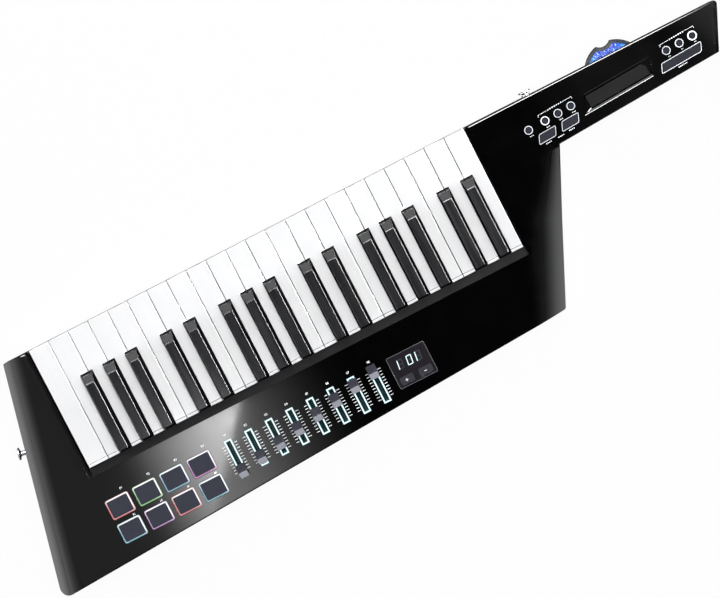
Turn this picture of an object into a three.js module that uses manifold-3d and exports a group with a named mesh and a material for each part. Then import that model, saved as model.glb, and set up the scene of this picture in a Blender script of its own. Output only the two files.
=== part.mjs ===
// A 37-key shoulder keyboard (keytar): a slanted body with full-size keys, pads, faders and a display,
// and a neck with round and slanted buttons, a touch strip and a bend wheel on its top edge.
// Millimetres. X runs along the keyboard towards the neck, Y towards the keys' free ends, Z out of the face.
import * as THREE from "three";
import { mergeVertices } from "three/addons/utils/BufferGeometryUtils.js";
import { ConvexGeometry } from "three/addons/geometries/ConvexGeometry.js";
import Module from "manifold-3d";

const wasm = await Module();
wasm.setup();

// Clearances and cuts
const seatGap = 0.3;
const cutOverrun = 1;
const edgeOverrun = 10;
const mergeTolerance = 1e-4;
const shellWall = 2.5;
const faceWall = 2.5;

// Heights above the face that the keytar rests on
const faceHeight = 48;
const partingHeight = 28;
const neckThickness = 34;

// White keys
const whiteKeyCount = 22;
const whiteKeysPerOctave = 7;
const whiteKeyPitch = 23.5;
const whiteKeyGap = 1;
const whiteKeyLength = 139.6;
const whiteKeyRise = 1.5;
const whiteKeyDepth = 11.5;
const whiteKeyLipDepth = 19.5;
const whiteKeyStemDepth = 6;
const keyPlateWall = 2.2;
const keySkirtWall = 1.6;
const keyLipWall = 2.4;
const keyEndClearance = 1.8;

// Black keys, with the shift of each within its group of three or two
const blackKeyWidth = 13.7;
const blackKeyTopWidth = 10;
const blackKeyLength = 88.9;
const blackKeyRearSetback = 2.2;
const blackKeyRise = 11.5;
const blackKeyDepth = 11;
const blackKeyClearance = 0.6;
const blackKeyTipClearance = 1.3;
const blackKeyNoseSetback = 2;
const blackKeyNoseRise = 6;
const blackKeySlopeLength = 8.5;
const blackKeyWall = 2.2;
const shiftInThree = 3;
const shiftInTwo = 2.3;
const octaveCount = 3;

// Key tails, and the round ridge they rock on
const keyTailLength = 13;
const keyTailLead = 5;
const keyTailDepth = 8;
const keyTailUnderTop = 9.5;
const ridgeRadius = 2;
const ridgeFromKeyEnd = 6;
const ridgeClearance = 0.35;
const ridgeSides = 12;

// Rail over the key tails, and the key chassis
const railWidth = 9.8;
const railBelowFace = 4;
const railThickness = 3;
const railRearOverlap = 7.2;
const chassisWall = 2.5;
const chassisPlate = 3;
const chassisLegHeight = 7.5;
const chassisLegWidth = 3;
const chassisLegCount = 6;
const chassisFrontSetback = 6.6;
const keyStopSetback = 14.7;
const keyStopWidth = 12;
const keyStopDrop = 10.5;

// Body outline
const keyToTopEdge = 0.3;
const leftBlockTopWidth = 30.1;
const leftSlantRun = 60.1;
const leftPanelDepth = 102.7;
const rightPanelDepth = 70.1;
const rightBlockBottomWidth = 8.3;
const rightBlockTopWidth = 81.1;
const lowerLeftRadius = 9.5;
const lowerRightRadius = 3.5;
const sharpRadius = 1;
const wellCornerRadius = 2.5;
const wellLedgeWidth = 3.6;
const wellLedgeDrop = 0.9;
const arcSteps = 3;
const outlineArcSteps = 6;

// Face roll-offs along the two slanted edges, rounds along the others, and the chamfer round the back
const leftRollWidth = 26;
const leftRollDrop = 9;
const rightRollWidth = 44;
const rightRollDrop = 14;
const rootRollWidth = 16;
const rootRollDrop = 1;
const rightRollFadeShare = 0.55;
const rollSteps = 9;
const farEdgeRound = 2.4;
const nearEdgeRound = 1.4;
const edgeRoundSteps = 3;
const backChamfer = 5;
const neckTipBevel = 4.5;

// Neck
const neckTaperDegrees = 2.97;
const neckTipMargin = 16.3;
const neckTipSlantRun = 22.9;
const neckTipRadius = 4;
const rampStartBeforeRoot = 56;
const rampEndBeyondRoot = 6;
const keyOpeningDrop = 13;

// Bend wheel
const wheelRadius = 33.1;
const wheelThickness = 12;
const wheelProtrusion = 13.3;
const wheelFromRoot = 88.3;
const wheelWallClearance = 1.07;
const wheelNotchWidth = 18;
const wheelNotchDepth = 4.4;
const wheelSides = 48;
const wheelPinRadius = 3;
const wheelBoreClearance = 0.4;
const wheelCollarRadius = 7;
const wheelHubRadius = 9;
const wheelRimWidth = 4.6;
const wheelWebRecess = 2;
const wheelPinRise = 3;
const wheelSlotClearance = 0.8;

// Drum pads
const padColumns = 4;
const padRows = 2;
const padFromKeyEnd = 10.8;
const padRowFromRail = 40.4;
const padPitchX = 32.48;
const padPitchY = 28.1;
const padOpeningWidth = 27.8;
const padOpeningHeight = 23.1;
const padOpeningRadius = 2.6;
const padTopInset = 1.6;
const padTopRadius = 1.6;
const padRise = 2.6;
const padFlangeDrop = 0.7;
const padGap = 0.35;
const matThickness = 2;
const matMargin = 1.5;

// Faders
const faderCount = 8;
const faderFromPads = 35.9;
const faderPitch = 24.4;
const faderSlotFromRail = 50.65;
const faderSlotLength = 38;
const faderSlotWidth = 4.5;
const faderTravel = 30.6;
const faderCapWidth = 10;
const faderCapLength = 15;
const faderCapHeight = 9;
const faderCapEndHeight = 3.4;
const faderRidgeWidth = 1.4;
const faderCapHover = 0.8;
const faderStemWidth = 1.6;
const faderStemLength = 4;
const faderStemDepth = 3;
const faderPotWidth = 8;
const faderPotLength = 44;
const faderPotBelowFace = 1.2;

// Display and its two buttons
const displayFromFaders = 40;
const displayFromRail = 48;
const displayWidth = 44.5;
const displayHeight = 36;
const displayRadius = 3;
const displayThickness = 1.5;
const displayLedge = 1.3;
const displayGap = 0.3;
const keyButtonWidth = 15.4;
const keyButtonHeight = 8.4;
const keyButtonRadius = 1.8;
const keyButtonSpread = 22;
const keyButtonFromCentre = 11;
const keyButtonRise = 0.6;
const buttonGap = 0.35;

// Neck buttons, laid out along the neck's lower edge
const roundButtonRadius = 2.8;
const roundButtonSides = 16;
const roundButtonLine = 28.95;
const roundButtonPitch = 15.6;
const firstButtonBeforeRoot = 21.3;
const firstButtonGap = 19.9;
const lowerRoundCount = 4;
const upperRoundCount = 3;
const upperButtonsFromStrip = 24.7;
const slantButtonLine = 14.5;
const slantButtonHeight = 7.8;
const slantButtonSkew = 3.6;
const slantButtonWidth = 17;
const slantButtonPitch = 27.6;
const slantFromFirstButton = 14.7;
const barButtonWidth = 44.5;
const neckButtonRise = 0.7;

// Touch strip and its slanted pocket
const stripFromButtons = 8.3;
const pocketLength = 82.4;
const pocketSkew = 9.2;
const pocketHeight = 20.3;
const pocketFromLowerEdge = 13;
const pocketDepth = 2.4;
const stripLength = 70.9;
const stripHeight = 13.5;
const stripThickness = 1.2;
const stripFromPocketEnd = 9.8;
const stripFromPocketFoot = 3.4;

// Strap buttons
const strapHeadRadius = 6.7;
const strapHeadThickness = 1.6;
const strapStemRadius = 2.6;
const strapFootRadius = 4.6;
const strapFootThickness = 1.2;
const strapFlare = 2;
const strapSides = 20;
const endStrapLength = 11;
const endStrapFromCorner = 99;
const endStrapHeight = 15;
const neckStrapLength = 5;
const neckStrapBeforeRoot = 8;
const neckStrapHeight = 21.5;

// Main board, with the sockets and the switch along the lower edge
const boardAboveParting = 2;
const boardThickness = 1.6;
const boardMargin = 3;
const boardFromRail = 11;
const boardWallClearance = 0.8;
const switchFromDisplay = 34;
const switchHousingWidth = 16;
const switchHousingHeight = 9;
const switchHousingDepth = 7;
const switchHousingWall = 1.5;
const switchNubWidth = 4;
const switchNubHeight = 3;
const switchNubProtrusion = 1.4;
const switchTravel = 4;
const switchFlangeWidth = 7;
const switchFlangeHeight = 5;
const switchFlangeThickness = 2;
const socketWallClearance = 0.4;
const socketSetback = 0.4;
const socketSpacing = 24;
const usbFromSwitch = 26;
const usbWidth = 12;
const usbHeight = 11;
const usbDepth = 16;
const usbMouthWidth = 8.5;
const usbMouthHeight = 7.8;
const usbMouthDepth = 10;
const jackWidth = 12;
const jackDepth = 24;
const jackBoreRadius = 3.3;
const jackBoreDepth = 20;
const dinWidth = 18;
const dinDepth = 15;
const dinBoreRadius = 7;
const dinBoreDepth = 8;
const boreSides = 16;

// Battery bay and its door
const bayFromFaders = 30;
const bayFromRail = 14;
const bayLength = 62;
const bayWidth = 54;
const bayDepth = 16.5;
const bayWall = 2;
const doorLedge = 2;
const doorThickness = 1.6;
const doorRecess = 0.5;
const doorGap = 0.6;

// Screw bosses and board posts
const bossRadius = 4.5;
const bossSides = 12;
const bossSetback = 14;
const lowerBossSetback = 6.5;
const screwHoleRadius = 3;
const screwHoleDepth = 4;
const postRadius = 3.5;
const postInset = 9;
const bossAlongLeftShares = [0.16, 0.52, 0.88];
const bossAlongLowerShares = [0.375, 0.595, 0.955];
const bossAlongRightShares = [0.35, 0.78];

// Places worked out from the sizes above
const keyboardWidth = whiteKeyCount * whiteKeyPitch;
const wellHalfWidth = keyboardWidth / 2 + keyEndClearance;
const keyFrontY = whiteKeyLength / 2;
const keyRearY = -whiteKeyLength / 2;
const railFrontY = keyRearY - seatGap;
const railRearY = railFrontY - railWidth;
const topEdgeY = keyFrontY + keyToTopEdge;
const whiteKeyTop = faceHeight + whiteKeyRise;
const ridgeY = keyRearY - ridgeFromKeyEnd;
const keyTailTop = whiteKeyTop - keyTailUnderTop;
const ridgeZ = keyTailTop - keyTailDepth;
const keyOpeningSill = whiteKeyTop - whiteKeyLipDepth - keyOpeningDrop;
const faceUnderside = faceHeight - faceWall;
const shellSeamHeight = partingHeight + seatGap;
const neckUnderside = faceHeight - neckThickness;
const blackTipY = keyRearY + blackKeyRearSetback + blackKeyLength;
const blackRearY = keyRearY + blackKeyRearSetback;

const wheelX = wellHalfWidth + rightBlockTopWidth + wheelFromRoot;
const wheelY = topEdgeY + wheelProtrusion - wheelRadius;
const wheelZ = (neckUnderside + faceHeight) / 2;
const neckTaper = THREE.MathUtils.degToRad(neckTaperDegrees);
const wheelToLowerEdge = wheelRadius + wheelWallClearance + shellWall;
const rootX = wellHalfWidth + rightBlockTopWidth;
const rootY = wheelY - wheelToLowerEdge / Math.cos(neckTaper) - wheelFromRoot * Math.tan(neckTaper);

const firstRoundU = -firstButtonBeforeRoot;
const lowerRoundU = [firstRoundU];
for (let i = 1; i < lowerRoundCount; i++) {
  lowerRoundU.push(firstRoundU + firstButtonGap + (i - 1) * roundButtonPitch);
}
const pocketU = lowerRoundU[lowerRoundCount - 1] + stripFromButtons;
const upperFirstU = pocketU + pocketLength + upperButtonsFromStrip;
const upperRoundU = [];
for (let i = 0; i < upperRoundCount; i++) {
  upperRoundU.push(upperFirstU + i * roundButtonPitch);
}
const neckLowerLength = upperRoundU[upperRoundCount - 1] + neckTipMargin;

const leftTop = [-wellHalfWidth - leftBlockTopWidth, topEdgeY];
const leftBottom = [leftTop[0] - leftSlantRun, railRearY - leftPanelDepth];
const rightBottom = [wellHalfWidth + rightBlockBottomWidth, railRearY - rightPanelDepth];
const neckRoot = [rootX, rootY];
const neckTipLower = [
  rootX + neckLowerLength * Math.cos(neckTaper),
  rootY + neckLowerLength * Math.sin(neckTaper),
];
const neckTipUpper = [neckTipLower[0] + neckTipSlantRun, topEdgeY];
const bodyCorners = [leftTop, leftBottom, rightBottom, neckRoot, neckTipLower, neckTipUpper];
const bodyRadii = [sharpRadius, lowerLeftRadius, lowerRightRadius, sharpRadius, sharpRadius, neckTipRadius];

const padFirstX = -keyboardWidth / 2 + padFromKeyEnd;
const padTopRowY = railRearY - padRowFromRail;
const faderFirstX = padFirstX + (padColumns - 1) * padPitchX + faderFromPads;
const faderSlotY = railRearY - faderSlotFromRail;
const displayX = faderFirstX + (faderCount - 1) * faderPitch + displayFromFaders;
const displayY = railRearY - displayFromRail;
const keyButtonY = displayY - keyButtonFromCentre;

const boardBottom = partingHeight + boardAboveParting;
const boardTop = boardBottom + boardThickness;
const lowerEdgeAngle = Math.atan2(rightBottom[1] - leftBottom[1], rightBottom[0] - leftBottom[0]);
const switchS = (displayX + switchFromDisplay - leftBottom[0]) / Math.cos(lowerEdgeAngle);

// Solids and polygons

function solidOf(geometry) {
  const bare = geometry.clone();
  bare.deleteAttribute("normal");
  bare.deleteAttribute("uv");
  const merged = mergeVertices(bare, mergeTolerance);
  return new wasm.Manifold(
    new wasm.Mesh({
      numProp: 3,
      vertProperties: new Float32Array(merged.attributes.position.array),
      triVerts: new Uint32Array(merged.index.array),
    }),
  );
}

function geometryOf(solid) {
  const mesh = solid.getMesh();
  const geometry = new THREE.BufferGeometry();
  geometry.setAttribute("position", new THREE.BufferAttribute(mesh.vertProperties, 3));
  geometry.setIndex(new THREE.BufferAttribute(mesh.triVerts, 1));
  const flat = geometry.toNonIndexed();
  flat.computeVertexNormals();
  return flat;
}

function join(solids) {
  return solids.reduce((sum, solid) => sum.add(solid));
}

function cut(solid, tools) {
  return tools.reduce((rest, tool) => rest.subtract(tool), solid);
}

function prismGeometry(points, low, high) {
  const shape = new THREE.Shape(points.map(([x, y]) => new THREE.Vector2(x, y)));
  const geometry = new THREE.ExtrudeGeometry(shape, { depth: high - low, bevelEnabled: false });
  return geometry.translate(0, 0, low);
}

// A polygon in X and Y, raised from one height to another, in the part's frame or in a turned one.
function prism(points, low, high, frame) {
  const geometry = prismGeometry(points, low, high);
  if (frame) geometry.applyMatrix4(frame);
  return solidOf(geometry);
}

// A polygon in Y and Z, drawn out along X.
function prismAlongX(points, low, high) {
  const turn = new THREE.Matrix4().makeBasis(
    new THREE.Vector3(0, 1, 0),
    new THREE.Vector3(0, 0, 1),
    new THREE.Vector3(1, 0, 0),
  );
  return solidOf(prismGeometry(points, low, high).applyMatrix4(turn));
}

// A polygon in X and Z, drawn out along Y.
function prismAlongY(points, low, high) {
  const turn = new THREE.Matrix4().makeBasis(
    new THREE.Vector3(1, 0, 0),
    new THREE.Vector3(0, 0, 1),
    new THREE.Vector3(0, -1, 0),
  );
  return solidOf(prismGeometry(points, -high, -low).applyMatrix4(turn));
}

function rectangle(left, right, near, far) {
  return [[left, near], [right, near], [right, far], [left, far]];
}

function block(left, right, near, far, low, high, frame) {
  return prism(rectangle(left, right, near, far), low, high, frame);
}

function circle(x, y, radius, sides) {
  const points = [];
  for (let i = 0; i < sides; i++) {
    const turn = (2 * Math.PI * (i + 1 / 2)) / sides;
    points.push([x + radius * Math.cos(turn), y + radius * Math.sin(turn)]);
  }
  return points;
}

// Rounds each corner of a polygon with an arc that touches both of its sides.
function rounded(corners, radii, steps = arcSteps) {
  const points = [];
  corners.forEach((corner, i) => {
    const here = new THREE.Vector2(...corner);
    const back = new THREE.Vector2(...corners.at(i - 1)).sub(here).normalize();
    const on = new THREE.Vector2(...corners[(i + 1) % corners.length]).sub(here).normalize();
    const half = Math.acos(THREE.MathUtils.clamp(back.dot(on), -1, 1)) / 2;
    const radius = radii[i];
    const middle = back.clone().add(on).normalize().multiplyScalar(radius / Math.sin(half)).add(here);
    const from = back.clone().multiplyScalar(radius / Math.tan(half)).add(here).sub(middle);
    const to = on.clone().multiplyScalar(radius / Math.tan(half)).add(here).sub(middle);
    const sweep = Math.atan2(from.cross(to), from.dot(to));
    for (let k = 0; k <= steps; k++) {
      const point = from.clone().rotateAround(new THREE.Vector2(), (sweep * k) / steps).add(middle);
      points.push([point.x, point.y]);
    }
  });
  return points;
}

function roundedRectangle(x, y, width, height, radius) {
  const corners = rectangle(x - width / 2, x + width / 2, y - height / 2, y + height / 2);
  return rounded(corners, [radius, radius, radius, radius]);
}

// A slanted four-sided shape, its upper side shifted along by the skew.
function slanted(u, v, width, height, skew) {
  const low = v - height / 2;
  const high = v + height / 2;
  return [
    [u - width / 2 - skew / 2, low],
    [u + width / 2 - skew / 2, low],
    [u + width / 2 + skew / 2, high],
    [u - width / 2 + skew / 2, high],
  ];
}

// Moves each side of an anticlockwise polygon inwards by the same distance, or outwards if it is negative.
function inset(corners, distance) {
  return corners.map((corner, i) => {
    const here = new THREE.Vector2(...corner);
    const back = here.clone().sub(new THREE.Vector2(...corners.at(i - 1))).normalize();
    const on = new THREE.Vector2(...corners[(i + 1) % corners.length]).sub(here).normalize();
    const normalBack = new THREE.Vector2(-back.y, back.x);
    const normalOn = new THREE.Vector2(-on.y, on.x);
    const mitre = normalBack.clone().add(normalOn);
    const reach = (2 * distance) / mitre.lengthSq();
    return [here.x + mitre.x * reach, here.y + mitre.y * reach];
  });
}

// A cutter that runs along an edge of the outline, from section to section. Each section has its distance
// along the edge and a profile, whose points are a distance inwards and a height.
function edgeLoft(start, end, sections) {
  const from = new THREE.Vector3(...start, 0);
  const along = new THREE.Vector3(...end, 0).sub(from).normalize();
  const inwards = new THREE.Vector3(-along.y, along.x, 0);
  const contour = sections[0].profile.map(([inward, height]) => new THREE.Vector2(inward, height));
  const anticlockwise = THREE.ShapeUtils.area(contour) > 0;
  const count = contour.length;
  const positions = [];
  for (const { at, profile } of sections) {
    for (const [inward, height] of profile) {
      const point = from.clone().addScaledVector(along, at).addScaledVector(inwards, inward);
      positions.push(point.x, point.y, height);
    }
  }
  const faces = [];
  const addFace = (a, b, c) => faces.push(...(anticlockwise ? [a, b, c] : [a, c, b]));
  for (let i = 1; i < sections.length; i++) {
    for (let j = 0; j < count; j++) {
      const next = (j + 1) % count;
      const low = (i - 1) * count;
      const high = i * count;
      addFace(low + j, low + next, high + next);
      addFace(low + j, high + next, high + j);
    }
  }
  const last = (sections.length - 1) * count;
  for (const [a, b, c] of THREE.ShapeUtils.triangulateShape(contour, [])) {
    addFace(c, b, a);
    addFace(last + a, last + b, last + c);
  }
  const geometry = new THREE.BufferGeometry();
  geometry.setAttribute("position", new THREE.Float32BufferAttribute(positions, 3));
  geometry.setIndex(faces);
  return solidOf(geometry);
}

// A cutter with one profile all along an edge, past both of its ends
function edgeCutter(start, end, profile) {
  const length = Math.hypot(end[0] - start[0], end[1] - start[1]);
  return edgeLoft(start, end, [{ at: -edgeOverrun, profile }, { at: length + edgeOverrun, profile }]);
}

// Frames along the neck's lower edge and along the body's lower edge
const neckFrame = new THREE.Matrix4().makeRotationZ(neckTaper).setPosition(rootX, rootY, 0);
const lowerEdgeFrame = new THREE.Matrix4()
  .makeRotationZ(lowerEdgeAngle)
  .setPosition(leftBottom[0], leftBottom[1], 0);

// Materials

function finish(name, color, roughness, metalness) {
  const material = new THREE.MeshStandardMaterial({ color, roughness, metalness });
  material.name = name;
  return material;
}

const shellPlastic = finish("shell_plastic", 0x0d0d0f, 0.22, 0);
const whiteKeyPlastic = finish("white_key_plastic", 0xf4f4f6, 0.2, 0);
const blackKeyPlastic = finish("black_key_plastic", 0x17171a, 0.42, 0);
const chassisPlastic = finish("chassis_plastic", 0x161618, 0.7, 0);
const padRubber = finish("pad_rubber", 0x3f3f48, 0.8, 0);
const buttonRubber = finish("button_rubber", 0x45454e, 0.7, 0);
const capPlastic = finish("cap_plastic", 0x6c6c74, 0.45, 0);
const displayPlastic = finish("display_plastic", 0x18181c, 0.12, 0);
const stripPlastic = finish("strip_plastic", 0x3a3a3e, 0.5, 0);
const wheelPlastic = finish("wheel_plastic", 0x2b3a6e, 0.25, 0);
const strapMetal = finish("strap_metal", 0xc9c9cc, 0.15, 1);
const boardLaminate = finish("board_laminate", 0x1f5c38, 0.6, 0);

const keytar = new THREE.Group();

function addNode(name, solid, material) {
  const mesh = new THREE.Mesh(geometryOf(solid), material);
  mesh.name = name;
  keytar.add(mesh);
  return mesh;
}

// Keys

const blackKeySteps = [
  { gap: 2, shift: -shiftInThree },
  { gap: 3, shift: 0 },
  { gap: 4, shift: shiftInThree },
  { gap: 6, shift: -shiftInTwo },
  { gap: 7, shift: shiftInTwo },
];
const blackKeys = [];
for (let octave = 0; octave < octaveCount; octave++) {
  for (const { gap, shift } of blackKeySteps) {
    const key = gap + octave * whiteKeysPerOctave;
    blackKeys.push({ gap: key, x: key * whiteKeyPitch - keyboardWidth / 2 + shift });
  }
}

// The half-round groove under a key's tail, which rocks on the chassis ridge
function tailGroove(left, right) {
  const groove = circle(ridgeY, ridgeZ, ridgeRadius + ridgeClearance, ridgeSides);
  return prismAlongX(groove, left - cutOverrun, right + cutOverrun);
}

function keyTail(left, right) {
  const rear = keyRearY - keyTailLength;
  const tail = block(left, right, rear, keyRearY + keyTailLead, ridgeZ, keyTailTop);
  return tail.subtract(tailGroove(left, right));
}

function whiteKey(index) {
  const left = index * whiteKeyPitch - keyboardWidth / 2 + whiteKeyGap / 2;
  const right = left + whiteKeyPitch - whiteKeyGap;
  const blackLeft = blackKeys.find(({ gap }) => gap === index);
  const blackRight = blackKeys.find(({ gap }) => gap === index + 1);
  const reach = blackKeyWidth / 2 + blackKeyClearance;
  const rearLeft = blackLeft ? blackLeft.x + reach : left;
  const rearRight = blackRight ? blackRight.x - reach : right;
  const notchY = blackTipY + blackKeyTipClearance;
  const head = rectangle(left, right, notchY, keyFrontY);
  const skirtBottom = whiteKeyTop - whiteKeyDepth;
  const plateUnderside = whiteKeyTop - keyPlateWall;
  const hollow = prism(inset(head, keySkirtWall), skirtBottom - cutOverrun, plateUnderside);
  const cover = prism(head, skirtBottom, whiteKeyTop).subtract(hollow);
  const lipBottom = whiteKeyTop - whiteKeyLipDepth;
  const lip = block(left, right, keyFrontY - keyLipWall, keyFrontY, lipBottom, plateUnderside);
  const stemBottom = whiteKeyTop - whiteKeyStemDepth;
  const stem = block(rearLeft, rearRight, keyRearY, notchY + keySkirtWall, stemBottom, whiteKeyTop);
  const heel = block(rearLeft, rearRight, keyRearY, keyRearY + keyTailLead, ridgeZ, whiteKeyTop);
  return join([cover, lip, stem, heel, keyTail(rearLeft, rearRight)]);
}

function blackKey(x) {
  const top = whiteKeyTop + blackKeyRise;
  const taper = (blackKeyWidth - blackKeyTopWidth) / 2;
  const noseHalf = blackKeyWidth / 2 - (taper * blackKeyNoseRise) / blackKeyRise;
  const noseY = blackTipY - blackKeyNoseSetback;
  const crownY = noseY - blackKeySlopeLength;
  const corners = [];
  for (const side of [-1, 1]) {
    corners.push(
      new THREE.Vector3(x + (side * blackKeyWidth) / 2, blackRearY, whiteKeyTop),
      new THREE.Vector3(x + (side * blackKeyWidth) / 2, blackTipY, whiteKeyTop),
      new THREE.Vector3(x + side * noseHalf, noseY, whiteKeyTop + blackKeyNoseRise),
      new THREE.Vector3(x + (side * blackKeyTopWidth) / 2, crownY, top),
      new THREE.Vector3(x + (side * blackKeyTopWidth) / 2, blackRearY, top),
    );
  }
  const crown = solidOf(new ConvexGeometry(corners));
  const left = x - blackKeyWidth / 2;
  const right = x + blackKeyWidth / 2;
  const bottom = whiteKeyTop - blackKeyDepth;
  const skirt = block(left, right, blackRearY, blackTipY, bottom, whiteKeyTop);
  const hollow = block(
    left + blackKeyWall,
    right - blackKeyWall,
    blackRearY + blackKeyWall,
    blackTipY - blackKeyNoseSetback - blackKeyWall,
    bottom - cutOverrun,
    whiteKeyTop + blackKeyNoseRise / 2,
  );
  return join([crown.subtract(hollow), skirt.subtract(hollow), keyTail(left, right)]);
}

function addKeys() {
  for (let i = 0; i < whiteKeyCount; i++) {
    const name = "white_key_" + String(i + 1).padStart(2, "0");
    addNode(name, whiteKey(i), whiteKeyPlastic);
  }
  blackKeys.forEach(({ x }, i) => {
    const name = "black_key_" + String(i + 1).padStart(2, "0");
    addNode(name, blackKey(x), blackKeyPlastic);
  });
}

// Key chassis, one moulding: base plate on legs, key stop, ridge wall, rear wall and the rail over the tails
function addChassis() {
  const legBottom = shellWall + seatGap;
  const plateBottom = legBottom + chassisLegHeight;
  const plateTop = plateBottom + chassisPlate;
  const railTop = faceHeight - railBelowFace;
  const railBottom = railTop - railThickness;
  const rear = railRearY - railRearOverlap;
  const plateFront = keyFrontY - chassisFrontSetback;
  const stopFront = keyFrontY - keyStopSetback;
  const stopTop = whiteKeyTop - whiteKeyDepth - keyStopDrop;
  const ridge = [];
  for (let i = 0; i <= ridgeSides / 2; i++) {
    const turn = (2 * Math.PI * i) / ridgeSides;
    ridge.push([ridgeY + ridgeRadius * Math.cos(turn), ridgeZ + ridgeRadius * Math.sin(turn)]);
  }
  const profile = [
    [rear, plateBottom],
    [plateFront, plateBottom],
    [plateFront, plateTop],
    [stopFront, plateTop],
    [stopFront, stopTop],
    [stopFront - keyStopWidth, stopTop],
    [stopFront - keyStopWidth, plateTop],
    [ridgeY + ridgeRadius, plateTop],
    ...ridge,
    [ridgeY - ridgeRadius, plateTop],
    [rear + chassisWall, plateTop],
    [rear + chassisWall, railBottom],
    [railFrontY, railBottom],
    [railFrontY, railTop],
    [rear, railTop],
  ];
  const halfWidth = wellHalfWidth - seatGap;
  const pieces = [prismAlongX(profile, -halfWidth, halfWidth)];
  const legStep = (2 * halfWidth - chassisLegWidth) / (chassisLegCount - 1);
  for (let i = 0; i < chassisLegCount; i++) {
    const left = i * legStep - halfWidth;
    const right = left + chassisLegWidth;
    pieces.push(block(left, right, rear, plateFront, legBottom, plateBottom));
  }
  addNode("key_chassis", join(pieces), chassisPlastic);
}

// Shared shapes of the two shells

const outline = rounded(bodyCorners, bodyRadii, outlineArcSteps);
const innerCorners = inset(bodyCorners, shellWall);
const innerRadii = bodyRadii.map((radius) => Math.max(radius - shellWall, sharpRadius / 2));
const innerOutline = rounded(innerCorners, innerRadii);

// The part of the section that a rolled-off edge takes away: an arc from the flat face down to the edge
function rollProfile(width, drop, wall, steps) {
  const half = Math.atan(drop / width);
  const radius = width / Math.sin(2 * half);
  const profile = [[width, faceHeight + cutOverrun], [-2 * cutOverrun, faceHeight + cutOverrun]];
  const reach = radius - wall;
  const edgeHeight = faceHeight - radius + reach * Math.cos(2 * half);
  profile.push([-2 * cutOverrun, edgeHeight]);
  for (let i = 0; i <= steps; i++) {
    const turn = 2 * half * (1 - i / steps);
    profile.push([width - reach * Math.sin(turn), faceHeight - radius + reach * Math.cos(turn)]);
  }
  return profile;
}

// The left roll-off is even. The right one fades out towards the neck's root.
function rollCutters(wall) {
  const length = Math.hypot(neckRoot[0] - rightBottom[0], neckRoot[1] - rightBottom[1]);
  const full = rollProfile(rightRollWidth, rightRollDrop, wall, rollSteps);
  const faded = rollProfile(rootRollWidth, rootRollDrop, wall, rollSteps);
  return [
    edgeCutter(leftTop, leftBottom, rollProfile(leftRollWidth, leftRollDrop, wall, rollSteps)),
    edgeLoft(rightBottom, neckRoot, [
      { at: -rightRollWidth, profile: full },
      { at: length * rightRollFadeShare, profile: full },
      { at: length, profile: faded },
    ]),
  ];
}

function edgeRoundCutters() {
  const far = rollProfile(farEdgeRound, farEdgeRound, 0, edgeRoundSteps);
  const near = rollProfile(nearEdgeRound, nearEdgeRound, 0, edgeRoundSteps);
  return [
    edgeCutter(neckTipUpper, leftTop, far),
    edgeCutter(leftBottom, rightBottom, near),
    edgeCutter(neckRoot, neckTipLower, near),
  ];
}

function bossPlaces() {
  const places = [];
  const along = (start, end, share, setback) => {
    const run = new THREE.Vector2(...end).sub(new THREE.Vector2(...start));
    const side = new THREE.Vector2(-run.y, run.x).normalize().multiplyScalar(setback);
    places.push([start[0] + run.x * share + side.x, start[1] + run.y * share + side.y]);
  };
  bossAlongLeftShares.forEach((share) => along(leftTop, leftBottom, share, bossSetback));
  bossAlongLowerShares.forEach((share) => along(leftBottom, rightBottom, share, lowerBossSetback));
  bossAlongRightShares.forEach((share) => along(rightBottom, neckRoot, share, bossSetback));
  return places;
}

function wheelSlot() {
  const reach = wheelRadius + wheelSlotClearance;
  const half = wheelThickness / 2 + wheelSlotClearance;
  const disc = prism(circle(wheelX, wheelY, reach, wheelSides), wheelZ - half, wheelZ + half);
  const wallBand = block(wheelX - reach, wheelX + reach, topEdgeY - shellWall - cutOverrun,
    topEdgeY + cutOverrun, wheelZ - half, wheelZ + half);
  return disc.intersect(wallBand);
}

// Mouths in the lower wall for the sockets and the switch
function lowerWallMouths() {
  const mouth = ({ s, width, height }) => block(
    s - width / 2 - socketWallClearance,
    s + width / 2 + socketWallClearance,
    -cutOverrun,
    shellWall + cutOverrun,
    boardBottom - height - socketWallClearance,
    boardBottom + seatGap,
    lowerEdgeFrame,
  );
  const slot = block(
    switchS - switchNubWidth / 2 - socketWallClearance,
    switchS + switchNubWidth / 2 + switchTravel + socketWallClearance,
    -cutOverrun,
    shellWall + cutOverrun,
    switchNubMiddle() - switchNubHeight / 2 - socketWallClearance,
    switchNubMiddle() + switchNubHeight / 2 + socketWallClearance,
    lowerEdgeFrame,
  );
  return [...sockets().map(mouth), slot];
}

// Front shell

function facePocket(depth) {
  const v = pocketFromLowerEdge + pocketHeight / 2;
  const u = pocketU + pocketLength / 2 + pocketSkew / 2;
  const rim = slanted(u, v, pocketLength, pocketHeight, pocketSkew);
  const foot = stripOutline(seatGap);
  const corners = [
    ...rim.map(([x, y]) => new THREE.Vector3(x, y, faceHeight + cutOverrun / 2)),
    ...foot.map(([x, y]) => new THREE.Vector3(x, y, faceHeight - depth)),
  ];
  return solidOf(new ConvexGeometry(corners).applyMatrix4(neckFrame));
}

function pocketBacking() {
  const v = pocketFromLowerEdge + pocketHeight / 2;
  const u = pocketU + pocketLength / 2 + pocketSkew / 2;
  const rim = slanted(u, v, pocketLength, pocketHeight, pocketSkew);
  return prism(rim, faceHeight - pocketDepth - faceWall, faceHeight, neckFrame);
}

function stripOutline(margin) {
  const left = pocketU + stripFromPocketEnd - margin;
  const low = pocketFromLowerEdge + stripFromPocketFoot - margin;
  return rectangle(left, left + stripLength + 2 * margin, low, low + stripHeight + 2 * margin);
}

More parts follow.
